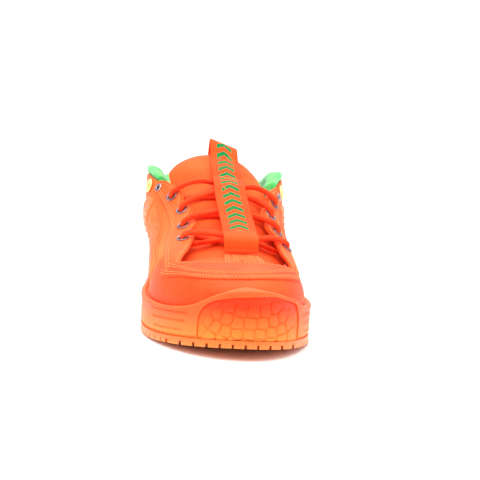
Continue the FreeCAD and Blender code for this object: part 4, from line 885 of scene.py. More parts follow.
BT = unit(at_len(ul + e) - at_len(ul - e))
BN = np.stack([BT[:, 1], -BT[:, 0]], -1)
BN = BN * np.sign(np.sum(BN * (BXY - np.array([8.0, -60.0])), 1))[:, None]
bq = np.clip(1 - ((ul - mid) / (0.5 * (RW - LW))) ** 2, 0, 1)
blip = np.interp(ul, st, lipz)
bzb = spring(BXY[:, 1]) + TREAD + 0.1
bzt = np.minimum(bzb + 3.5 + (41.0 - 3.5 - bzb) * bq ** 0.27, blip - 2.6) - 0.12
fv = np.linspace(0, 1, nv)
BZ = bzb[:, None] + (bzt - bzb)[:, None] * fv
G = np.stack([np.broadcast_to(ul[:, None], BZ.shape), BZ], -1)
D = np.linalg.norm((G[:, :, None, :] - cc[None, None]) * np.array([1.0, 1.08]), axis=-1)
o3 = np.argsort(D, axis=-1)[..., :4]
ds = np.take_along_axis(D, o3, -1)
kx = 0.55
edge = -kx * np.log(np.sum(np.exp(-(ds[..., 1:] - ds[..., :1]) * 0.5 / kx), axis=-1))
real = o3[..., 0] < len(CELLS)
pil = np.sqrt(np.clip(1 - (1 - np.clip((edge - 0.12) / 1.5, 0, 1)) ** 2, 0, 1))
rim = np.minimum(np.minimum(G[..., 0] - ul[0], ul[-1] - G[..., 0]), (bzt[:, None] - BZ))
relief = np.where(real, -1.2 + 1.0 * pil + 0.22 * np.clip(edge / 3.4, 0, 1), -1.0 + 0.2 * pil)
relief = relief * sstep(rim / 1.6) + (-0.95) * (1 - sstep(rim / 1.6))
low = sstep((BZ - bzb[:, None]) / 1.4)
relief = relief - 0.5 * (1 - low)
BO = np.concatenate([BXY[:, None, :] + BN[:, None, :] * relief[..., None], BZ[..., None]], -1)
BI = np.concatenate([BXY[:, None, :] + BN[:, None, :] * np.full(BZ.shape, -RECESS + 0.02)[..., None], BZ[..., None]], -1)
V, F, uv = shell_arrays(BO, BI, K=1, bulge=0.1)
make("toe_bumper_pad", V, fix_faces(V, F), "shoe", mat_bumper, uv)

# sockliner: contoured foam bed with a raised rim
def bed(off, zf, n=260, rings=26):
    th = np.linspace(0, 2 * np.pi, n, endpoint=False)
    y0 = np.clip(118 * np.cos(th), -96, 100)
    c = tab(CL, y0)
    dx, dy = -np.sin(th), np.cos(th)
    lo = np.zeros(n); hi = np.full(n, 160.0)
    for _ in range(28):
        m = 0.5 * (lo + hi)
        ins = phi(c + dx * m, y0 + dy * m, np.full(n, 26.0)) < 0
        lo = np.where(ins, m, lo); hi = np.where(ins, hi, m)
    lo = lo - off
    rim = np.stack([c + dx * lo, y0 + dy * lo], -1)
    cen = np.stack([c, y0 * 0.9], -1)
    V, F = [], []
    fr = np.linspace(0, 1, rings) ** 0.8
    top = np.stack([cen + (rim - cen) * f for f in fr[1:]])
    r = np.linalg.norm(rim - cen, axis=1)
    d = (1 - fr[1:])[:, None] * r[None]
    zt = zf(top[..., 1]) + 3.2 * (1 - sstep(d / 9.0)) * sstep((top[..., 1] + 60) / 60.0) - 0.8 * (1 - sstep(d / 1.6))
    return top, zt, d


def liner_top(y):
    f = sstep((y + 70.0) / 150.0)
    foam = 8.7 + spring(y) + 0.05 + 5.0 + 7.0 * f
    return foam + 0.1 + 1.8 + 0.1 + 3.6 + 1.4 * f


top, zt, dd = bed(6.4, liner_top)
nr_, n_ = zt.shape
TOP = np.concatenate([top, zt[..., None]], -1)
BOT = TOP.copy()
BOT[..., 2] = liner_top(top[..., 1]) - 3.3
V = np.concatenate([TOP.reshape(-1, 3), BOT.reshape(-1, 3)])
ia = np.arange(nr_ * n_).reshape(nr_, n_)
ib = ia + nr_ * n_
F = []
for r_ in range(nr_ - 1):
    F.append(np.stack([ia[r_], np.roll(ia[r_], -1), np.roll(ia[r_ + 1], -1), ia[r_ + 1]], -1))
    F.append(np.stack([ib[r_], ib[r_ + 1], np.roll(ib[r_ + 1], -1), np.roll(ib[r_], -1)], -1))
F.append(np.stack([ia[-1], np.roll(ia[-1], -1), np.roll(ib[-1], -1), ib[-1]], -1))
F.append(np.stack([ia[0], ib[0], np.roll(ib[0], -1), np.roll(ia[0], -1)], -1))
V_s, F_s = V, fix_faces(V, np.concatenate(F))
sock = make("sockliner_bed", V_s, F_s, "shoe", mat_sock, V_s[:, :2])

# ---------------------------------------------------------------- upper
def foam_top(y):
    return 8.7 + spring(np.asarray(y, float)) + 0.05 + 5.0 + 7.0 * sstep((np.asarray(y, float) + 70.0) / 150.0)


def seat(x, y):
    return (x, y, float(foam_top(y)) + 0.9)


VAMP_LOW = [seat(-48.5, -70.6), seat(-47.5, -90), seat(-43, -112), seat(-30, -132), seat(8, -143), seat(40, -133), seat(48.5, -113), seat(50.5, -90), seat(49.7, -70.6)]
VAMP_HIGH = [(-25, -72.6, 56), (-32.5, -92, 50.5), (-22, -101, 53), (-8, -105, 54.3), (8, -106, 54.6), (22, -103.5, 54), (34, -98, 51.5), (43, -90, 49), (37, -72.6, 56)]
QL_LOW = [seat(-48.5, -70), seat(-49, -45), seat(-47, -20), seat(-44.5, 0), seat(-43, 18), seat(-42.3, 35), seat(-42, 58), seat(-42, 82), seat(-41, 105), seat(-34, 127), seat(-18, 141), seat(-3.1, 144)]
QL_HIGH = [(-25, -72, 56), (-19.5, -50, 61), (-20.5, -24, 72), (-29, -1, 81), (-42, 13, 84.5), (-52, 30, 90), (-49, 54, 83), (-44, 80, 72.5), (-41, 102, 68.5), (-31, 125, 69), (-16, 136, 75), (-3.1, 138, 78)]
QM_LOW = [seat(49.7, -70), seat(46.5, -45), seat(42.5, -20), seat(40, 0), seat(38.7, 18), seat(38, 35), seat(37.5, 58), seat(37.5, 82), seat(36.5, 105), seat(30, 127), seat(13, 141), seat(-2.5, 144)]
QM_HIGH = [(37, -72, 56), (31.5, -50, 61), (24.5, -24, 72), (29.5, -1, 81), (36.5, 13, 84.5), (44, 30, 90), (42, 54, 83), (38, 80, 72.5), (35.5, 102, 68.5), (26, 125, 69), (11, 136, 75), (-2.5, 138, 78)]
EYE_L = np.array([(-33.4, -3.5, 77), (-27.8, -21, 71), (-26.6, -39, 63), (-27.2, -58, 57.5)])
EYE_M = np.array([(34.7, -1, 77.7), (30.3, -18.5, 70.5), (33.6, -36, 62), (38.0, -55, 55)])
eye_l, eye_m = project(EYE_L), project(EYE_M)
ring_l, ring_m = project(np.array([-43.0, 11.5, 82.0])), project(np.array([40.0, 11.5, 82.0]))
vent_l, vent_m = project(np.array([-50.5, 25, 82.5])), project(np.array([43.0, 25, 82.5]))


def scallop(eyes, depth):
    """Fraction of the way across a panel kept at each station: the edge bulges at each eyelet and is notched between them."""
    ys = eyes[:, 1]

    def f(A, B):
        y = B[:, 1]
        L = np.linalg.norm(B - A, axis=1)
        ph = np.interp(y, ys[::-1], np.arange(len(ys))[::-1].astype(float))
        bump = 0.5 + 0.5 * np.cos(2 * np.pi * ph)
        inside = sstep((y - (ys[-1] - 6)) / 6.0) * sstep((ys[0] + 5 - y) / 5.0)
        d = depth * (1 - bump ** 0.75) * inside
        # rounded shoulder above the top eyelet
        return 1.0 - d / L
    return f


Pv = patch(VAMP_LOW, VAMP_HIGH, 190, 96, h0=0.0, h1=1.0)
shell("vamp_toe", Pv, -SK, 0.12 * wobble(Pv, 26.0, 1) + 0.10 * np.sin(2 * np.pi * Pv[..., 2] / 1.5) * sstep((-36 - Pv[..., 0]) / 5.0) * sstep((Pv[..., 1] + 112) / 12.0), "shoe", mat_vamp)
SAD_LOW = [(-43.6, -90, 41.5), (-41.9, -97, 41.8), (-33, -110.5, 44.8), (-21, -122.4, 46.4), (-5.7, -129.8, 47.8), (10, -130.8, 48.6), (26.5, -123.0, 47.8), (36.8, -110, 45.4), (44.0, -98.5, 42.5), (46.5, -92, 41.5)]
SAD_HIGH = [(-39.5, -82, 48.5), (-34.8, -91, 50.0), (-28.5, -96.5, 51.6), (-21, -100.8, 53), (-8, -104.8, 54.3), (8, -105.8, 54.6), (22, -103.3, 54), (32, -98.5, 52), (41.0, -90.5, 49.4), (44.5, -82, 48.0)]
Ps = patch(SAD_LOW, SAD_HIGH, 200, 36)
SADO = 0.8
shell("vamp_saddle", Ps, -0.5, SADO + 0.12 * np.sin(2 * np.pi * Ps[..., 2] / 1.5) * sstep((-30 - Ps[..., 0]) / 6.0), "shoe", mat_vamp, bulge=0.55)
for dist in (1.7, 3.5):
    C, N = inset_line(Ps, dist, SADO, "low", 0.0, 1.0)
    STITCH.append(stitch_parts(C, N, pitch=2.15, length=1.55, width=0.7, height=0.42))
for dist in (7.6, 9.4):
    C, N = inset_line(Ps, dist, SADO, "low", 0.03, 0.97)
    STITCH.append(stitch_parts(C, N, pitch=2.15, length=1.55, width=0.7, height=0.42))
C, N = inset_line(Ps, 1.8, SADO, "high", 0.12, 0.88)
STITCH.append(stitch_parts(C, N, pitch=2.4, length=1.7, width=0.65))

BAR = 3.2
for side, LOW, HIGH, eyes, rg, vt in (("lateral", QL_LOW, QL_HIGH, eye_l, ring_l, vent_l), ("medial", QM_LOW, QM_HIGH, eye_m, ring_m, vent_m)):
    P = patch(LOW, HIGH, 300, 64, h1=scallop(eyes, 4.2))
    hgt = np.linspace(0, 1, P.shape[1])[None, :]
    puff = 0.9 * sstep((P[..., 1] - 42) / 30.0) * np.exp(-((hgt - 0.86) / 0.14) ** 2) * (1 - 0 * hgt)
    puff = puff + 0.10 * wobble(P, 30.0, 2 if side == "lateral" else 3) * sstep((P[..., 1] + 60) / 20.0)
    ob = shell("quarter_skin_" + side, P, -SK, puff, "shoe", mat_quarter)
    cutters = [(c, normal(c), BAR, 6.0) for c in eyes] + [(rg, normal(rg), 1.9, 5.0), (vt, normal(vt), 2.8, 5.0)]
    cut(ob, cutters)
    # topline stitches, two rows
    for dist in (2.0, 4.0):
        C, N = inset_line(P, dist, 0.0, "high", 0.47, 0.985)
        STITCH.append(stitch_parts(C, N, pitch=2.7, length=1.95))

EL_LOW = [(-41.5, -97.5, 42), (-40.5, -84, 47.3), (-39, -70, 51), (-37.5, -50, 56), (-36, -30, 63), (-38.0, -12, 69.6), (-42.0, 3, 75.5), (-46.5, 15, 82)]
EL_HIGH = [(-33.5, -94, 50), (-30, -86, 52.5), (-25.5, -72.5, 56.5), (-19.6, -50, 61.5), (-20.8, -28, 70.5), (-26.0, -8, 78.5), (-35.5, 7, 84.5), (-42.5, 14.5, 86.2)]
EM_LOW = [(45.5, -97.5, 42), (46, -84, 45), (45.5, -70, 49), (43, -50, 53.5), (40, -30, 60.5), (39.5, -12, 68), (41, 3, 75.5), (42.5, 15, 82)]
EM_HIGH = [(42.5, -92, 49), (41, -85, 52), (37, -72.5, 56.5), (31.6, -50, 61.5), (25.2, -28, 70.5), (27.8, -8, 78.5), (33.0, 7, 84.5), (37.2, 14.5, 86.2)]
for side, LOW, HIGH, eyes, rg in (("lateral", EL_LOW, EL_HIGH, eye_l, ring_l), ("medial", EM_LOW, EM_HIGH, eye_m, ring_m)):
    P = patch(LOW, HIGH, 240, 30, h1=scallop(eyes, 4.6))
    lo_off = -0.25 - 0.75 * (1 - sstep((P[..., 1] + 92) / 8.0)) + 0.10 * np.sin(2 * np.pi * P[..., 2] / 1.5) * sstep((-34 - P[..., 0]) / 5.0)
    ob = shell("eyestay_skin_" + side, P, lo_off, lo_off + OV + 0.55, "shoe", mat_stay, bulge=0.8)
    cut(ob, [(c, normal(c), BAR, 6.0) for c in eyes] + [(rg, normal(rg), 1.9, 5.0)])
    for dist in (1.6, 3.3):
        C, N = inset_line(P, dist, 0.0, "low", 0.02, 0.97)
        C = C + N * (OV + 0.3 - 0.75 * (1 - sstep((C[:, 1:2] + 92) / 8.0)))
        STITCH.append(stitch_parts(C, N, pitch=2.5, length=1.8))
    C, N = inset_line(P, 1.7, 0.0, "high", 0.02, 0.97)
    C = C + N * (OV + 0.3 - 0.75 * (1 - sstep((C[:, 1:2] + 92) / 8.0)))
    STITCH.append(stitch_parts(C, N, pitch=2.5, length=1.8))

# side overlay with long flowing ribs; the ribbed badge sits in the inverted V below the grommet
for side, sg in (("lateral", -1), ("medial", 1)):
    if sg < 0:
        LOW = [(-50, -66, 33), (-50.5, -46, 33), (-49, -24, 33), (-48, 0, 33), (-47.2, 13, 34)]
        HIGH = [(-43.5, -66, 48), (-41.8, -46, 53.8), (-40.6, -24, 62.5), (-43.5, -4, 71.5), (-46.8, 8, 78)]
        BLOW = [(-47, 14, 34), (-46, 28, 34), (-45, 42, 34)]
        BHIGH = [(-49, 11, 78), (-51, 20, 76), (-50, 34, 62)]
    else:
        LOW = [(49, -66, 33), (46, -46, 33), (43.5, -24, 33), (41, 0, 33), (40, 13, 34)]
        HIGH = [(48, -66, 45), (45.5, -46, 51.5), (42, -24, 60), (41, -4, 70), (42, 8, 77)]
        BLOW = [(40, 14, 34), (39.5, 28, 34), (39, 42, 34)]
        BHIGH = [(42.5, 11, 77), (43, 20, 75), (42.5, 34, 62)]
    P = patch(LOW, HIGH, 190, 84, h0=0.02, h1=0.96)
    uu = np.linspace(0, 1, P.shape[0])[:, None]
    vv = np.linspace(0, 1, P.shape[1])[None, :]
    # six long ribs that fan out gently and fade at both ends
    ph = vv * 7.0 - 0.9 * np.sin(uu * 4.4 + 0.4) + 0.25 * np.sin(uu * 11.0)
    rib = (0.5 + 0.5 * np.cos(2 * np.pi * ph)) ** 1.5
    fade = sstep(uu / 0.10) * sstep((0.97 - uu) / 0.12) * sstep((vv - 0.07) / 0.08) * sstep((0.93 - vv) / 0.08)
    shell("side_overlay_skin_" + side, P, -0.35, 0.55 + 0.8 * rib * fade, "shoe", mat_quarter, bulge=0.7)
    P2 = patch(BLOW, BHIGH, 70, 110, h0=0.02, h1=0.97)
    uu = np.linspace(0, 1, P2.shape[0])[:, None]
    vv = np.linspace(0, 1, P2.shape[1])[None, :]
    ph = vv * 9.0 + 0.8 * uu
    rib = (0.5 + 0.5 * np.cos(2 * np.pi * ph)) ** 1.5
    fade = sstep(uu / 0.14) * sstep((1 - uu) / 0.14) * sstep(vv / 0.05) * sstep((1 - vv) / 0.05)
    shell("side_rib_skin_" + side, P2, -0.35, 0.55 + 0.75 * rib * fade, "shoe", mat_ribfilm, bulge=0.7)
    for Pq in (P,):
        C, N = inset_line(Pq, 1.5, 1.0, "high", 0.03, 0.98)
        STITCH2.append(stitch_parts(C, N, pitch=2.5, length=1.8, height=0.4))

HO_LOW = [(-41.5, 84, 32.0), (-39, 110, 32.5), (-30, 131, 32.5), (-3, 145, 32.5), (25, 131, 32.5), (34, 110, 32.5), (36.5, 84, 32.0)]
HO_HIGH = [(-42, 96, 58), (-38, 112, 60), (-28, 129, 62.5), (-3, 141, 68), (23, 129, 62.5), (33, 112, 60), (36, 96, 58)]
Ph = patch(HO_LOW, HO_HIGH, 180, 50)
shell("heel_overlay_skin", Ph, -0.25, 1.5 + 0.10 * wobble(Ph, 24.0, 5), "shoe", mat_stay, bulge=0.8)
for dist in (1.7, 3.6):
    C, N = inset_line(Ph, dist, 1.5, "high", 0.01, 0.99)
    STITCH.append(stitch_parts(C, N, pitch=2.6, length=1.85))
for s_ in (0.012, 0.988):
    C, N = line_on(Ph, 1.5, s=s_, h0=0.03, h1=0.96)
    STITCH.append(stitch_parts(C, N, pitch=2.6, length=1.85))

# linings inside the forefoot
Pl = patch(VAMP_LOW, VAMP_HIGH, 90, 40, s0=0.02, s1=0.98, h0=0.02, h1=0.93)
shell("vamp_lining_cloth", Pl, -SK - 0.8 - 1.1 - LG, -SK - 0.8 - 1.1, "shoe", mat_lining)
FQ = {"lateral": ([seat(-48.3, -67), seat(-48.6, -45), seat(-46.6, -20), seat(-44.5, 0), seat(-43.4, 14)], [(-34, -67, 53), (-33, -46, 56), (-35.5, -24, 63), (-42, -2, 70), (-47.5, 13, 77)]),
      "medial": ([seat(49.3, -67), seat(46.3, -45), seat(42.3, -20), seat(40, 0), seat(39.0, 14)], [(43, -67, 50), (40, -46, 54), (37.5, -24, 62), (38.5, -2, 70), (41, 13, 77)])}
for side, (a, b) in FQ.items():
    Pq = patch(a, b, 70, 44)
    shell("quarter_lining_cloth_" + side, Pq, -SK - 0.5 - LG, -SK - 0.5, "shoe", mat_lining)

# ---------------------------------------------------------------- collar: terry roll over the padding, lining down inside
COL_LOW = [seat(-43.2, 16), seat(-42.3, 35), seat(-42, 58), seat(-42, 82), seat(-41, 105), seat(-34, 127), seat(-18, 141), seat(-2.8, 144), seat(13, 141), seat(30, 127), seat(36.5, 105), seat(37.5, 82), seat(37.5, 58), seat(38, 35), seat(38.7, 16)]
COL_TOP = [(-45, 17, 86.5), (-52.3, 30, 91), (-49, 54, 83), (-44, 80, 72.5), (-41, 102, 68.5), (-31, 125, 69), (-16, 136, 75), (-2.8, 138, 78), (11, 136, 75), (26, 125, 69), (35.5, 102, 68.5), (38, 80, 72.5), (42, 54, 83), (44.3, 30, 91), (39, 17, 86.5)]
COL_HIGH = [(x, y, z + 5.0) for x, y, z in COL_TOP]
sd = np.linspace(0.004, 0.996, 500)
midc = 0.5 * (rows(COL_LOW, sd) + rows(COL_HIGH, sd))
L = cumlen(midc)
ncol = 380
s = np.interp(np.linspace(0, L[-1], ncol), L, sd)
A, B = rows(COL_LOW, s), rows(COL_HIGH, s)
LEN = np.linalg.norm(B - A, axis=1)
sec = [(21, -2.2), (17, -2.1), (12, -2.05), (8, -2.05), (6.0, -2.1), (4.6, -1.5), (3.2, -0.2), (1.8, 0.55), (0.2, 0.7), (-1.2, 0.2), (-2.2, -0.9), (-2.8, -2.4), (-3.0, -4.1), (-2.7, -5.8), (-1.8, -7.5), (-0.4, -9.0), (1.6, -10.2), (4.4, -10.9), (8.0, -11.0), (13, -10.4), (16.5, -9.2), (20, -7.7), (23.5, -6.4), (27, -5.8), (31, -5.8)]
back = [(29, -4.4), (26, -4.5), (23, -4.0)]
dep = 31.0
secd = np.array(sec)
f = cumlen(secd)
nsec = 64
secd = np.stack([np.interp(np.linspace(0, f[-1], nsec), f, secd[:, c]) for c in range(2)], -1)
down = 26
cols = []
for d, o in secd:
    cols.append((np.full(ncol, d), np.full(ncol, o)))
bott = LEN - 9.0
for i in range(1, down + 1):
    cols.append((31.0 + (bott - 31.0) * i / down, np.full(ncol, -5.8)))
for i in range(down, 0, -1):
    cols.append((30.0 + (bott - 30.0) * i / down, np.full(ncol, -4.75)))
for d, o in ((29, -4.3), (26.5, -4.2), (24, -3.7), (22.4, -2.9)):
    cols.append((np.full(ncol, float(d)), np.full(ncol, float(o))))
RR = []
for d, o in cols:
    h = 1.0 - d / LEN
    Pq = project(A + (B - A) * h[:, None])
    RR.append(Pq + normal(Pq) * o[:, None])
RR = np.stack(RR, 1)  # ncol x section
# rounded ends
cen = RR[:, :nsec].mean(1, keepdims=True)
for i, (kf) in enumerate((0.35, 0.72, 0.90, 0.98)):
    for j in (i, ncol - 1 - i):
        c0 = RR[j, :nsec].mean(0)
        RR[j, :nsec] = c0 + (RR[j, :nsec] - c0) * (kf * 0.6 + 0.4)
# terry pile: fine relief on the roll and the inner face
npile = nsec
TT = unit(np.gradient(RR, axis=0))
UU = unit(np.gradient(RR, axis=1))
NN = unit(np.cross(UU, TT))
chk = np.sum(NN[:, nsec // 2] * (RR[:, nsec // 2] - RR[:, :nsec].mean(1)), axis=1).mean()
if chk < 0:
    NN = -NN
amp = np.zeros(RR.shape[:2])
amp[:, 4:nsec + down] = 1.0
hsh = rng.uniform(-1, 1, size=RR.shape[:2])
hsh = 0.5 * hsh + 0.25 * (np.roll(hsh, 1, 0) + np.roll(hsh, 1, 1))
RR = RR + NN * (amp * (0.16 * hsh + 0.35 * wobble(RR, 14.0, 9)))[..., None]
m_ = RR.shape[1]
V = RR.reshape(-1, 3)
idx = np.arange(ncol * m_).reshape(ncol, m_)
nx = np.roll(idx, -1, axis=1)
Fc = np.stack([idx[:-1], idx[1:], nx[1:], nx[:-1]], -1).reshape(-1, 4).tolist()
va = V[idx[0]].mean(0)
V = np.concatenate([V, [RR[0, :nsec].mean(0), RR[-1, :nsec].mean(0)]])
# the end caps pair the section's outside with its inside
def cap(row, flip):
    n = len(row)
    out = []
    i, j = 0, n - 1
    while j - i >= 3:
        out.append([row[i], row[i + 1], row[j - 1], row[j]])
        i += 1
        j -= 1
    if j - i == 2:
        out.append([row[i], row[i + 1], row[j]])
    return [q[::-1] for q in out] if flip else out
V = V[:-2]
Fc += cap(list(np.roll(idx[0], 2)), False)
Fc += cap(list(np.roll(idx[-1], 2)), True)
# orient
def signed(V, F):
    v = 0.0
    for q in F:
        for i in range(1, len(q) - 1):
            v += np.dot(V[q[0]], np.cross(V[q[i]], V[q[i + 1]]))
    return v
if signed(V, Fc) < 0:
    Fc = [q[::-1] for q in Fc]
collar = make("collar_terry_pad", V, Fc, "shoe", mat_terry, None)

# ---------------------------------------------------------------- tongue
NV = 74
def tongue_rows():
    """Outer surface of the whole tongue: rows from the throat to the top edge."""
    TLL = [(-38, -104, 42), (-39, -84, 44), (-37, -60, 51), (-36, -35, 57), (-38, -14, 66), (-40, -3, 70.5)]
    TLM = [(47, -104, 40), (47, -84, 42), (45.5, -60, 46), (42.5, -35, 53), (39.5, -14, 64), (39, -3, 70.5)]
    n = 60
    u = np.linspace(0, 1, NV)
    out = []
    for i in range(n):
        sv = i / (n - 1.0)
        a, b = rows(TLL, sv), rows(TLM, sv)
        yv = a[1] + (b[1] - a[1]) * u
        mid = np.stack([tab(CL, yv), yv, np.full(NV, 0.5 * (a[2] + b[2]) + 60.0)], -1)
        wl, wm, wc = (1 - u) ** 2, u ** 2, 0.5 * u * (1 - u)
        kk = (wl + wm + wc)[:, None]
        seed = (a * wl[:, None] + b * wm[:, None] + mid * wc[:, None]) / kk
        p = project(seed)
        ybar = p[:, 1].mean()
        ramp = sstep((p[:, 1] + 92) / 18.0)
        base = -3.3 * (1 - ramp) - (9.5 - 5.1 * np.abs(2 * u - 1) ** 4) * ramp
        # pillows between the lace rows
        row_y = np.array([-61.0, -39.0, -21.0, -5.0])
        dmin = np.min(np.abs(p[:, 1:2] - row_y[None]), axis=1)
        pill = 1.1 * sstep((dmin - 2.5) / 5.0) * np.sin(np.pi * u) ** 0.8 * ramp
        o = base + 1.3 * np.sin(np.pi * u) ** 1.2 * ramp + pill
        out.append(p + normal(p) * o[:, None])
    FLAP = [(-0.5, 6.0, 86.5, 33.2, 12.5, 2.0), (-3.2, 14.0, 92.8, 31.4, 12.0, 2.5), (-5.0, 22.0, 97.6, 31.0, 11.6, 2.5), (-6.6, 30.0, 101.4, 30.2, 12.0, 2.0), (-7.0, 36.0, 103.4, 26.5, 10.5, 1.0)]
    m = 34
    for i in range(m):
        sv = i / (m - 1.0)
        cx, cy, cz, hw, dr, sb = rows(FLAP, sv)
        v = 2 * u - 1
        arch = v * v * (0.75 + 0.25 * v * v)
        extra = 1.0 * np.cos(v * np.pi / 2) * sstep(sv * 3) * (1 - sv)
        out.append(np.stack([cx + hw * v, cy + sb * arch - 0.55 * extra, cz - dr * arch + 0.835 * extra], -1))
    return np.stack(out), n
TR, nb = tongue_rows()
# smooth over the join, then space evenly
S_ = []
for j in range(NV):
    col = TR[:, j]
    g = np.concatenate([col[:nb - 4], col[nb + 3:]])
    S_.append(respace(g, 130))
TG = np.stack(S_, 1)
for _ in range(6):
    TG[1:-1] = 0.25 * TG[:-2] + 0.5 * TG[1:-1] + 0.25 * TG[2:]
dU = unit(np.gradient(TG, axis=1))
dS = unit(np.gradient(TG, axis=0))
TN = unit(np.cross(dU, dS))
if TN[60, NV // 2, 2] < 0:
    TN = -TN
u = np.linspace(0, 1, NV)[None, :]
sv = np.linspace(0, 1, TG.shape[0])[:, None]
endr = np.sqrt(np.clip(1 - np.clip((sv - 0.93) / 0.07, 0, 1) ** 2, 0.02, 1))
side_r = np.sqrt(np.clip(1 - np.abs(2 * u - 1) ** 9, 0.05, 1))
thick = (5.2 + 2.0 * sstep((sv - 0.45) / 0.3)) * np.sin(np.pi * np.clip(u, 0.02, 0.98)) ** 0.35
thick = np.maximum(thick * side_r * endr, 0.5)
crease = 0.18 * wobble(TG, 20.0, 11) + 0.08 * wobble(TG, 8.0, 12)
TO = TG + TN * (crease - (1 - endr) * 1.6 - (1 - side_r) * 1.0)[..., None]
TI = TG - TN * (thick - crease * 0.5)[..., None]
V, F, uv = shell_arrays(TO, TI, K=5, bulge=0.9)
tongue = make("tongue_pad", V, fix_faces(V, F), None, mat_tongue, uv)

# ---------------------------------------------------------------- strap
WW, WG = 23.5, 1.2


def band(C, W, lean, gauge, up_hint=(0, -0.5, 0.85), sag=0.0, nw=15, ups=None):
    """Flat webbing along C with half widths W; lean gives the direction across."""
    T = unit(np.gradient(C, axis=0))
    side = np.broadcast_to(np.asarray(lean, float), C.shape).copy()
    side = unit(side - T * np.sum(side * T, 1)[:, None])
    up = unit(np.cross(side, T)) if ups is None else ups
    if ups is None:
        sgn = np.sign(np.sum(up * np.asarray(up_hint), 1))
        up = up * (np.median(sgn))
    f = np.linspace(-1, 1, nw)
    O = C[:, None] + side[:, None] * (f[None, :, None] * W[:, None, None]) + up[:, None] * (gauge + sag * f[None, :, None] ** 2)
    edge_t = 1 - 0.35 * (np.abs(f) > 0.9)[None, :, None]
    I = O - up[:, None] * (gauge * edge_t)
    return O, I, f


def ridge(y, off):
    p = on_top(tab(CL, y), y)
    return lift(p, off)


yy = np.linspace(-70.5, -0.5, 104)
lowp = ridge(yy, 4.4 - 5.0 * sstep((yy + 15.0) / 14.0))
lowp[:, 0] += np.interp(yy, [-70, -40, 0], [-0.9, 0.4, 1.9])
ys = np.linspace(5.6, 31.5, 44)
ss = (ys - 5.6) / (31.0 - 5.6)
cz = tab([(6.0, 86.5), (14.0, 92.5), (22.0, 97.0), (30.0, 100.5), (36.0, 102.6)], ys)
lu = 1.6 + 3.6 * (1.0 - sstep(ss / 0.9))
upp = np.column_stack([tab([(3, 2.1), (20, 1.2), (36, 0.6)], ys), ys - 0.55 * lu, cz + 0.835 * lu])
CS = np.concatenate([lowp[:-3], upp[2:]])
CS = respace(CS, 170)
for _ in range(14):
    CS[1:-1] = 0.25 * CS[:-2] + 0.5 * CS[1:-1] + 0.25 * CS[2:]
CS[:, 2] += 0.35 * np.sin(np.linspace(0, 1, 170) * 22.0) * np.hanning(170)
Wd = np.interp(np.linspace(0, 1, 170), [0, 0.5, 1], [10.9, 10.2, 9.6])
lean = np.stack([np.ones(170), np.zeros(170), np.interp(np.linspace(0, 1, 170), [0, 0.6, 1], [0.0, -0.04, -0.22])], -1)
O, I, f = band(CS, Wd, lean, WG, sag=-0.55)
V, F, uv = shell_arrays(O, I, K=2, bulge=0.8)
Ls = cumlen(CS)
g = np.stack(np.meshgrid(Ls, np.linspace(-11.5, 11.5, 15), indexing="ij"), -1).reshape(-1, 2)
uv[:len(g)] = g
uv[len(g):2 * len(g)] = g + np.array([0, 100.0])
uv[2 * len(g):] += np.array([0, 100.0])
strap = make("pull_strap", V, fix_faces(V, F), None, mat_strap, uv)

# pull loop: the strap folded over at the top, its tail down behind the tongue
pts = [(24.5, 100.9), (27.3, 102.9), (29.8, 105.2), (32.2, 107.6), (35.0, 109.6), (38.4, 110.4), (42.0, 109.4), (44.6, 106.4), (45.6, 102.8), (45.6, 98.8)]
pc = np.array([(0.0, y, z) for y, z in pts])
i_ = np.arange(len(pts))
kk = np.linspace(0, len(pts) - 1, 110)
Cl = np.column_stack([np.interp(kk, [0, 9], [0.95, 0.4]), tab(list(zip(i_, pc[:, 1])), kk), tab(list(zip(i_, pc[:, 2])), kk)])
Cl = respace(Cl, 110)
T = unit(np.gradient(Cl, axis=0))
up = np.column_stack([np.zeros(110), -T[:, 2], T[:, 1]])
up = up * np.sign(np.sum(up * (Cl - np.array([-1.5, 38.5, 101])), 1)).mean() / abs(np.sign(np.sum(up * (Cl - np.array([-1.5, 38.5, 101])), 1)).mean())
tilt = np.interp(np.linspace(0, 1, 110), [0, 0.22, 0.45, 0.6, 1.0], [-0.22, -0.30, -0.37, -0.36, -0.2])
lean = np.column_stack([np.ones(110), np.zeros(110), tilt])
Wl = np.full(110, 9.5)
f = np.linspace(-1, 1, 15)
side = unit(lean)
O = Cl[:, None] + side[:, None] * (f[None, :, None] * Wl[:, None, None]) + up[:, None] * (0.0)
O[..., 2] -= 0.0
I = O - up[:, None] * WG
V, F, uv = shell_arrays(O, I, K=2, bulge=0.8)
Ll = cumlen(Cl) + Ls[-1] - 8.0
g = np.stack(np.meshgrid(Ll, np.linspace(-11.5, 11.5, 15), indexing="ij"), -1).reshape(-1, 2)
uv[:len(g)] = g
uv[len(g):2 * len(g)] = g + np.array([0, 100.0])
uv[2 * len(g):] += np.array([0, 100.0])
loop = make("pull_loop_webbing", V, fix_faces(V, F), None, mat_strap, uv)

# lace keeper
foot = np.array([(-80.8, -2.2), (-79.9, -0.6), (-78.8, 2.0), (-77.0, 4.8), (-74.0, 6.0), (-71.0, 6.15), (-68.4, 6.1), (-65.8, 5.8)])
kk = np.linspace(0, len(foot) - 1, 60)
i_ = np.arange(len(foot))
fy, fo = tab(list(zip(i_, foot[:, 0])), kk), tab(list(zip(i_, foot[:, 1])), kk)
CK = ridge(fy, fo)
CK[:, 0] -= 1.0
CK = respace(CK, 60)
O, I, f = band(CK, np.full(60, 10.9), (1, 0, 0), WG, sag=-0.4)
V, F, uv = shell_arrays(O, I, K=2, bulge=0.9)
make("lace_keeper_band", V, fix_faces(V, F), "shoe", mat_web, uv)

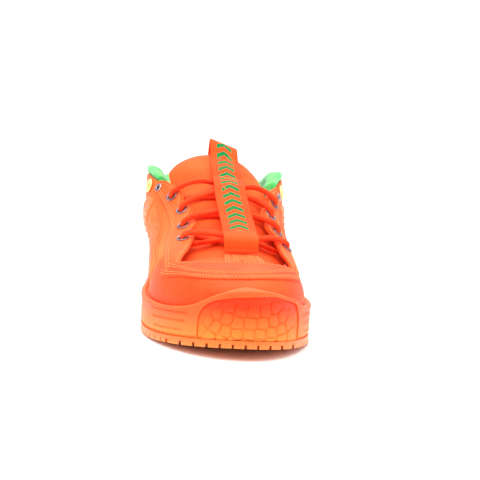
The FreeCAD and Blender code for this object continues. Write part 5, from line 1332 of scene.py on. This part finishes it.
# keeper patch with its rows of stitches
py = np.linspace(-105.0, -80.0, 50)
half = np.interp(py, [-105, -80], [15.2, 11.3])
f = np.linspace(-1, 1, 30)
px = (tab(CL, py) + np.interp(py, [-105, -80], [1.4, -0.6]))[:, None] + half[:, None] * f[None]
PP = on_top(px, np.broadcast_to(py[:, None], px.shape))
NP = normal(PP)
ramp = sstep((PP[..., 1] + 92) / 18.0)
dmin = np.min(np.abs(PP[..., 1:2] - np.array([-61.0])[None, None]), axis=-1)
base = -3.3 * (1 - ramp) + (-8.4 + 1.3 + 1.5 * sstep((dmin - 2.5) / 5.0)) * ramp
O = PP + NP * (base + 0.95)[..., None]
I = PP + NP * (base - 0.25)[..., None]
V, F, uv = shell_arrays(O, I, K=2, bulge=0.9)
make("keeper_patch_skin", V, fix_faces(V, F), "shoe", mat_stay, uv)
for ff in (-0.92, -0.78, -0.5, -0.36, 0.36, 0.5, 0.78, 0.92):
    j = (ff + 1) / 2 * 29
    k0 = int(j)
    C = O[:, k0] * (1 - j + k0) + O[:, min(k0 + 1, 29)] * (j - k0)
    STITCH.append(stitch_parts(C[2:-2], NP[2:-2, k0], pitch=2.1, length=1.5, width=0.6))
# two small red bar tacks
for xo in (-3.2, 3.2):
    c = on_top(tab(CL, -96.0) + xo + 1.5, -96.0)
    c2 = on_top(tab(CL, -98.5) + xo + 1.5, -98.5)
    a, b = lift(c, -1.75), lift(c2, -1.75)
    cc_ = np.stack([a + (b - a) * t for t in np.linspace(0, 1, 5)])
    STITCH2.append(stitch_parts(cc_, np.repeat(normal(c)[None], 5, 0), pitch=1.3, length=1.2, width=2.0, height=0.45))

# ---------------------------------------------------------------- lace
LR = 2.0
TOPO = LAP + OV + 2.3 + 1.85
LOWO = -(SK + 1.85 + 0.8)


def half_lace(side):
    def E(sg, r):
        return (eye_l if sg < 0 else eye_m)[r]
    pts = []
    start = lift(E(side, 3), LOWO)
    cx = float(tab(CL, -57.0))
    midp = ridge(np.array(-57.0), LOWO - 0.2)
    qq = on_top((start[0] + cx) / 2.0, -57.0)
    pts += [np.array((cx, midp[1], midp[2])), lift(qq, LOWO + 0.1), start]
    sg = side
    for row in (3, 2, 1):
        high = sg < 0
        a, b = E(sg, row), E(-sg, row - 1)
        pts.append(lift(a, TOPO))
        yc = 0.5 * (a[1] + b[1]) - 2.0
        if row == 3:
            yc = -65.0
        c = float(tab(CL, yc))
        p1 = on_top(a[0] + (c - a[0]) * 0.42, a[1] + (yc - a[1]) * 0.42)
        pts.append(lift(p1, 4.4 if high else 3.8))
        pts.append(lift(on_top(c, yc), 1.2 if high else -3.9))
        yb = b[1] - 3.5
        cb = float(tab(CL, yb))
        p3 = on_top(b[0] + (float(tab(CL, yc)) - b[0]) * 0.46, yb + (yc - yb) * 0.46)
        pts.append(lift(p3, -3.7 if high else -4.9))
        pts.append(lift(b, LOWO))
        sg = -sg
    last = E(sg, 0)
    pts.append(lift(last, TOPO))
    y_end = -1.4 if sg < 0 else -8.0
    for fr, off in ((0.42, 3.5), (0.80, -3.6)):
        x = last[0] + (float(tab(CL, y_end)) + 1.0 - last[0]) * fr
        pts.append(lift(on_top(x, last[1] + (y_end - last[1]) * fr), off))
    return np.array(pts)


def quad_spline(P, step=0.4):
    out = [P[0]]
    Mx = 0.5 * (P[:-1] + P[1:])
    t = np.linspace(0, 1, 24)[:, None]
    seg = [P[0] + (Mx[0] - P[0]) * t]
    for i in range(1, len(P) - 1):
        a, b, c = Mx[i - 1], P[i], Mx[i]
        seg.append((1 - t) ** 2 * a + 2 * t * (1 - t) * b + t ** 2 * c)
    seg.append(Mx[-1] + (P[-1] - Mx[-1]) * t)
    C = np.concatenate([s_[:-1] for s_ in seg] + [P[-1:]])
    return respace(C, int(cumlen(C)[-1] / step))


parts = []
ag = []
for side in (-1, 1):
    Pts = half_lace(side)
    C = quad_spline(Pts, 0.42)
    def rel(Lx, th):
        a = np.sin(6 * th + Lx * 2 * np.pi / 4.2)
        b = np.sin(6 * th - Lx * 2 * np.pi / 4.2)
        return 1.0 + 0.045 * np.maximum(a, b)
    parts.append(tube_mesh(C, 1.95, 1.6, 26, rel, side0=(0, 0, 1)))
    a, b = C[-4], C[-1]
    d = unit(b - a)
    d2 = unit(np.array([d[0], d[1], 0.0]))
    tt = np.linspace(0, 1, 14)[:, None]
    Ca = b + d2 * (0.3 + 13.0 * tt)
    ag.append(tube_mesh(Ca, 1.25, 1.25, 16, side0=(0, 0, 1)))
V, F, uv = merge(parts)
make("lace_cord", V, F, "shoe", mat_lace, uv)
V, F, uv = merge(ag)
mat_aglet = rubber("aglet_film", srgb(240, 150, 120), srgb(248, 170, 140), None, rough=(0.1, 0.2), sss=0.2, coat=0.5)
make("lace_aglets", V, F, "shoe", mat_aglet, uv)


# ---------------------------------------------------------------- rings
def lathe(prof, seg=44):
    prof = np.array(prof, float)
    n = len(prof)
    th = np.linspace(0, 2 * np.pi, seg, endpoint=False)
    V = np.stack([np.outer(np.cos(th), prof[:, 0]), np.outer(np.sin(th), prof[:, 0]), np.broadcast_to(prof[:, 1], (seg, n))], -1)
    idx = np.arange(seg * n).reshape(seg, n)
    a, b = idx, np.roll(idx, -1, 0)
    F = np.stack([a, b, np.roll(b, -1, 1), np.roll(a, -1, 1)], -1).reshape(-1, 4)
    V = V.reshape(-1, 3)
    return V, fix_faces(V, F), np.zeros((len(V), 2))


def seatring(mesh, p, off):
    V, F, U = mesh
    n = normal(p)
    R_ = np.array(Vector((0, 0, 1)).rotation_difference(Vector(n)).to_matrix())
    return V @ R_.T + p + n * off, F, U


def rounded(r0, r1, r2, depth, h):
    """Section of an eyelet: rolled flange r0..r2, barrel r0..r1 down to -depth."""
    pr = [(r0, -depth), (r1, -depth), (r1, -0.02)]
    for k_ in range(9):
        a = -math.pi / 2 + math.pi * k_ / 8 * 1.0
        pr.append((r2 - h / 2 + h / 2 * math.cos(a), h / 2 + h / 2 * math.sin(a)))
    mid_r = 0.5 * (r0 + r2)
    pr.append((mid_r, h * 1.12))
    for k_ in range(5):
        a = math.pi / 2 + math.pi / 2 * k_ / 4
        pr.append((r0 + h * 0.6 + h * 0.6 * math.cos(a), h * 0.5 + h * 0.55 * math.sin(a)))
    return pr


FACE = LAP + OV
e_mesh = lathe(rounded(2.72, 3.1, 4.25, 3.3, 0.75))
r_mesh = lathe(rounded(1.3, 1.8, 2.9, 2.4, 0.8))
v_mesh = lathe(rounded(2.0, 2.7, 4.75, 1.7, 1.1))
for nm, es in (("eyelet_rims_lateral", eye_l), ("eyelet_rims_medial", eye_m)):
    V, F, uv = merge([seatring(e_mesh, p, FACE + 0.05) for p in es])
    make(nm, V, F, "shoe", mat_eyelet, uv, sharp=60)
V, F, uv = merge([seatring(r_mesh, p, FACE + 0.05) for p in (ring_l, ring_m)])
make("top_ring_pair", V, F, "shoe", mat_ring, uv, sharp=60)
V, F, uv = merge([seatring(v_mesh, p, 0.15) for p in (vent_l, vent_m)])
make("collar_grommet_pair", V, F, "shoe", mat_brass, uv, sharp=60)

# ---------------------------------------------------------------- stitches
V, F, uv = merge(STITCH)
make("stitching_light", V, F, "shoe", mat_thread, uv)
V, F, uv = merge(STITCH2)
make("stitching_deep", V, F, "shoe", mat_thread2, uv)

# ---------------------------------------------------------------- carried-over nodes
def paint(node, mat):
    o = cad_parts[node]
    if not o.data.materials:
        o.data.materials.append(mat)
    for sl in o.material_slots:
        sl.material = mat


paint("outsole", mat_tread)
paint("midsole", mat_foam)
paint("strobel_board", mat_board)
paint("toe_puff", mat_stiff)
paint("heel_counter", mat_stiff)

# ---------------------------------------------------------------- bodies
for name, body in BODY.items():
    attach(bpy.data.objects[name], body)
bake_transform(tongue)
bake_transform(strap)
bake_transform(loop)

REPL = {
    "cupsole_body": ["cupsole"], "toe_bumper_pad": ["toe_bumper"], "sockliner_bed": ["sockliner"],
    "vamp_toe": ["vamp"], "vamp_lining_cloth": ["vamp_lining"],
    "quarter_skin_lateral": ["quarter_lateral"], "quarter_skin_medial": ["quarter_medial"],
    "quarter_lining_cloth_lateral": ["quarter_lining_lateral"], "quarter_lining_cloth_medial": ["quarter_lining_medial"],
    "eyestay_skin_lateral": ["eyestay_lateral"], "eyestay_skin_medial": ["eyestay_medial"],
    "side_overlay_skin_lateral": ["side_overlay_lateral"], "side_overlay_skin_medial": ["side_overlay_medial"],
    "side_rib_skin_lateral": ["side_rib_panel_lateral"], "side_rib_skin_medial": ["side_rib_panel_medial"],
    "heel_overlay_skin": ["heel_overlay"], "collar_terry_pad": ["collar_padding", "collar_lining"],
    "tongue_pad": ["tongue_base", "tongue_flap"], "pull_strap": ["strap_lower", "strap_upper"], "pull_loop_webbing": ["pull_loop"],
    "lace_keeper_band": ["lace_keeper"], "keeper_patch_skin": ["keeper_patch"], "lace_cord": ["lace"], "lace_aglets": ["aglets"],
    "eyelet_rims_lateral": ["eyelets_lateral"], "eyelet_rims_medial": ["eyelets_medial"], "top_ring_pair": ["top_rings"],
    "collar_grommet_pair": ["collar_grommets"],
}

for name, nodes in REPL.items():
    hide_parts(*nodes)

# ---------------------------------------------------------------- stage, light, camera
scene = bpy.context.scene


def stage_mat(name, col, rough):
    m = M(name, Roughness=rough, Specular_IOR_Level=0.2)
    m.color(m.ramp(m.noise(4.0, 2.0), [(0.3, col), (0.7, tuple(min(1.0, v * 1.01) for v in col[:3]) + (1.0,))]))
    return m.m


fm = bpy.data.meshes.new("floor")
yb = 2.2
pts, fcs = [], []
prof = [(-3.0, -0.0006)] + [(yb - 0.9, -0.0006)] + [(yb - 0.9 + 0.9 * math.sin(a), -0.0006 + 0.9 - 0.9 * math.cos(a)) for a in [math.pi / 2 * i / 24 for i in range(1, 25)]] + [(yb, 3.5)]
for y_, z_ in prof:
    pts += [(-4.0, y_, z_), (4.0, y_, z_)]
for i in range(len(prof) - 1):
    fcs.append((2 * i, 2 * i + 1, 2 * i + 3, 2 * i + 2))
fm.from_pydata(pts, [], fcs)
fm.update()
fm.polygons.foreach_set("use_smooth", np.ones(len(fm.polygons), dtype=bool))
floor = bpy.data.objects.new("floor", fm)
scene.collection.objects.link(floor)
floor.data.materials.append(stage_mat("floor_white", (0.90, 0.89, 0.885, 1.0), 0.7))

w = bpy.data.worlds.new("studio")
scene.world = w
w.use_nodes = True
w.node_tree.nodes["Background"].inputs[0].default_value = (1.0, 0.985, 0.975, 1.0)
w.node_tree.nodes["Background"].inputs[1].default_value = 0.44


def area(name, pos, target, size, energy, color=(1, 1, 1), sy=None):
    l = bpy.data.lights.new(name, "AREA")
    l.energy = energy
    l.size = size
    if sy:
        l.shape = "RECTANGLE"
        l.size_y = sy
    l.color = color
    o = bpy.data.objects.new(name, l)
    o.location = pos
    o.rotation_euler = (Vector(target) - Vector(pos)).to_track_quat("-Z", "Y").to_euler()
    scene.collection.objects.link(o)


area("key_top", (-0.15, -0.25, 1.5), (0.0, 0.0, 0.05), 1.2, 21.0, (1.0, 0.985, 0.96))
area("side_left", (-1.35, -0.55, 0.75), (0.0, -0.03, 0.05), 1.1, 11.0, (1.0, 0.975, 0.95))
area("side_right", (1.35, -0.45, 0.75), (0.0, -0.03, 0.05), 1.1, 10.5, (1.0, 0.98, 0.965))
area("floor_front", (0.0, -1.0, 1.3), (0.0, -0.9, 0.0), 1.4, 9.0, (1.0, 0.985, 0.975))
area("backdrop", (0.0, 1.1, 1.9), (0.0, 2.0, 0.4), 1.8, 30.0, (1.0, 1.0, 1.0))

cam_data = bpy.data.cameras.new("camera")
cam = bpy.data.objects.new("camera", cam_data)
scene.collection.objects.link(cam)
az, el, roll, dist = math.radians(-4.5), math.radians(10.0), math.radians(3.1), 1.75
right = Vector((math.cos(az), math.sin(az), 0))
backv = Vector((math.sin(az) * math.cos(el), -math.cos(az) * math.cos(el), math.sin(el)))
upv = backv.cross(right)
xr = right * math.cos(roll) + upv * math.sin(roll)
yr = upv * math.cos(roll) - right * math.sin(roll)
pos = Vector((0.0086, -0.050, 0.0593)) + backv * dist
cam.matrix_world = Matrix((
    (xr.x, yr.x, backv.x, pos.x),
    (xr.y, yr.y, backv.y, pos.y),
    (xr.z, yr.z, backv.z, pos.z),
    (0, 0, 0, 1)))
cam_data.sensor_width = 36.0
cam_data.lens = 199.5
cam_data.clip_end = 30.0
scene.camera = cam
scene.view_settings.view_transform = "Standard"
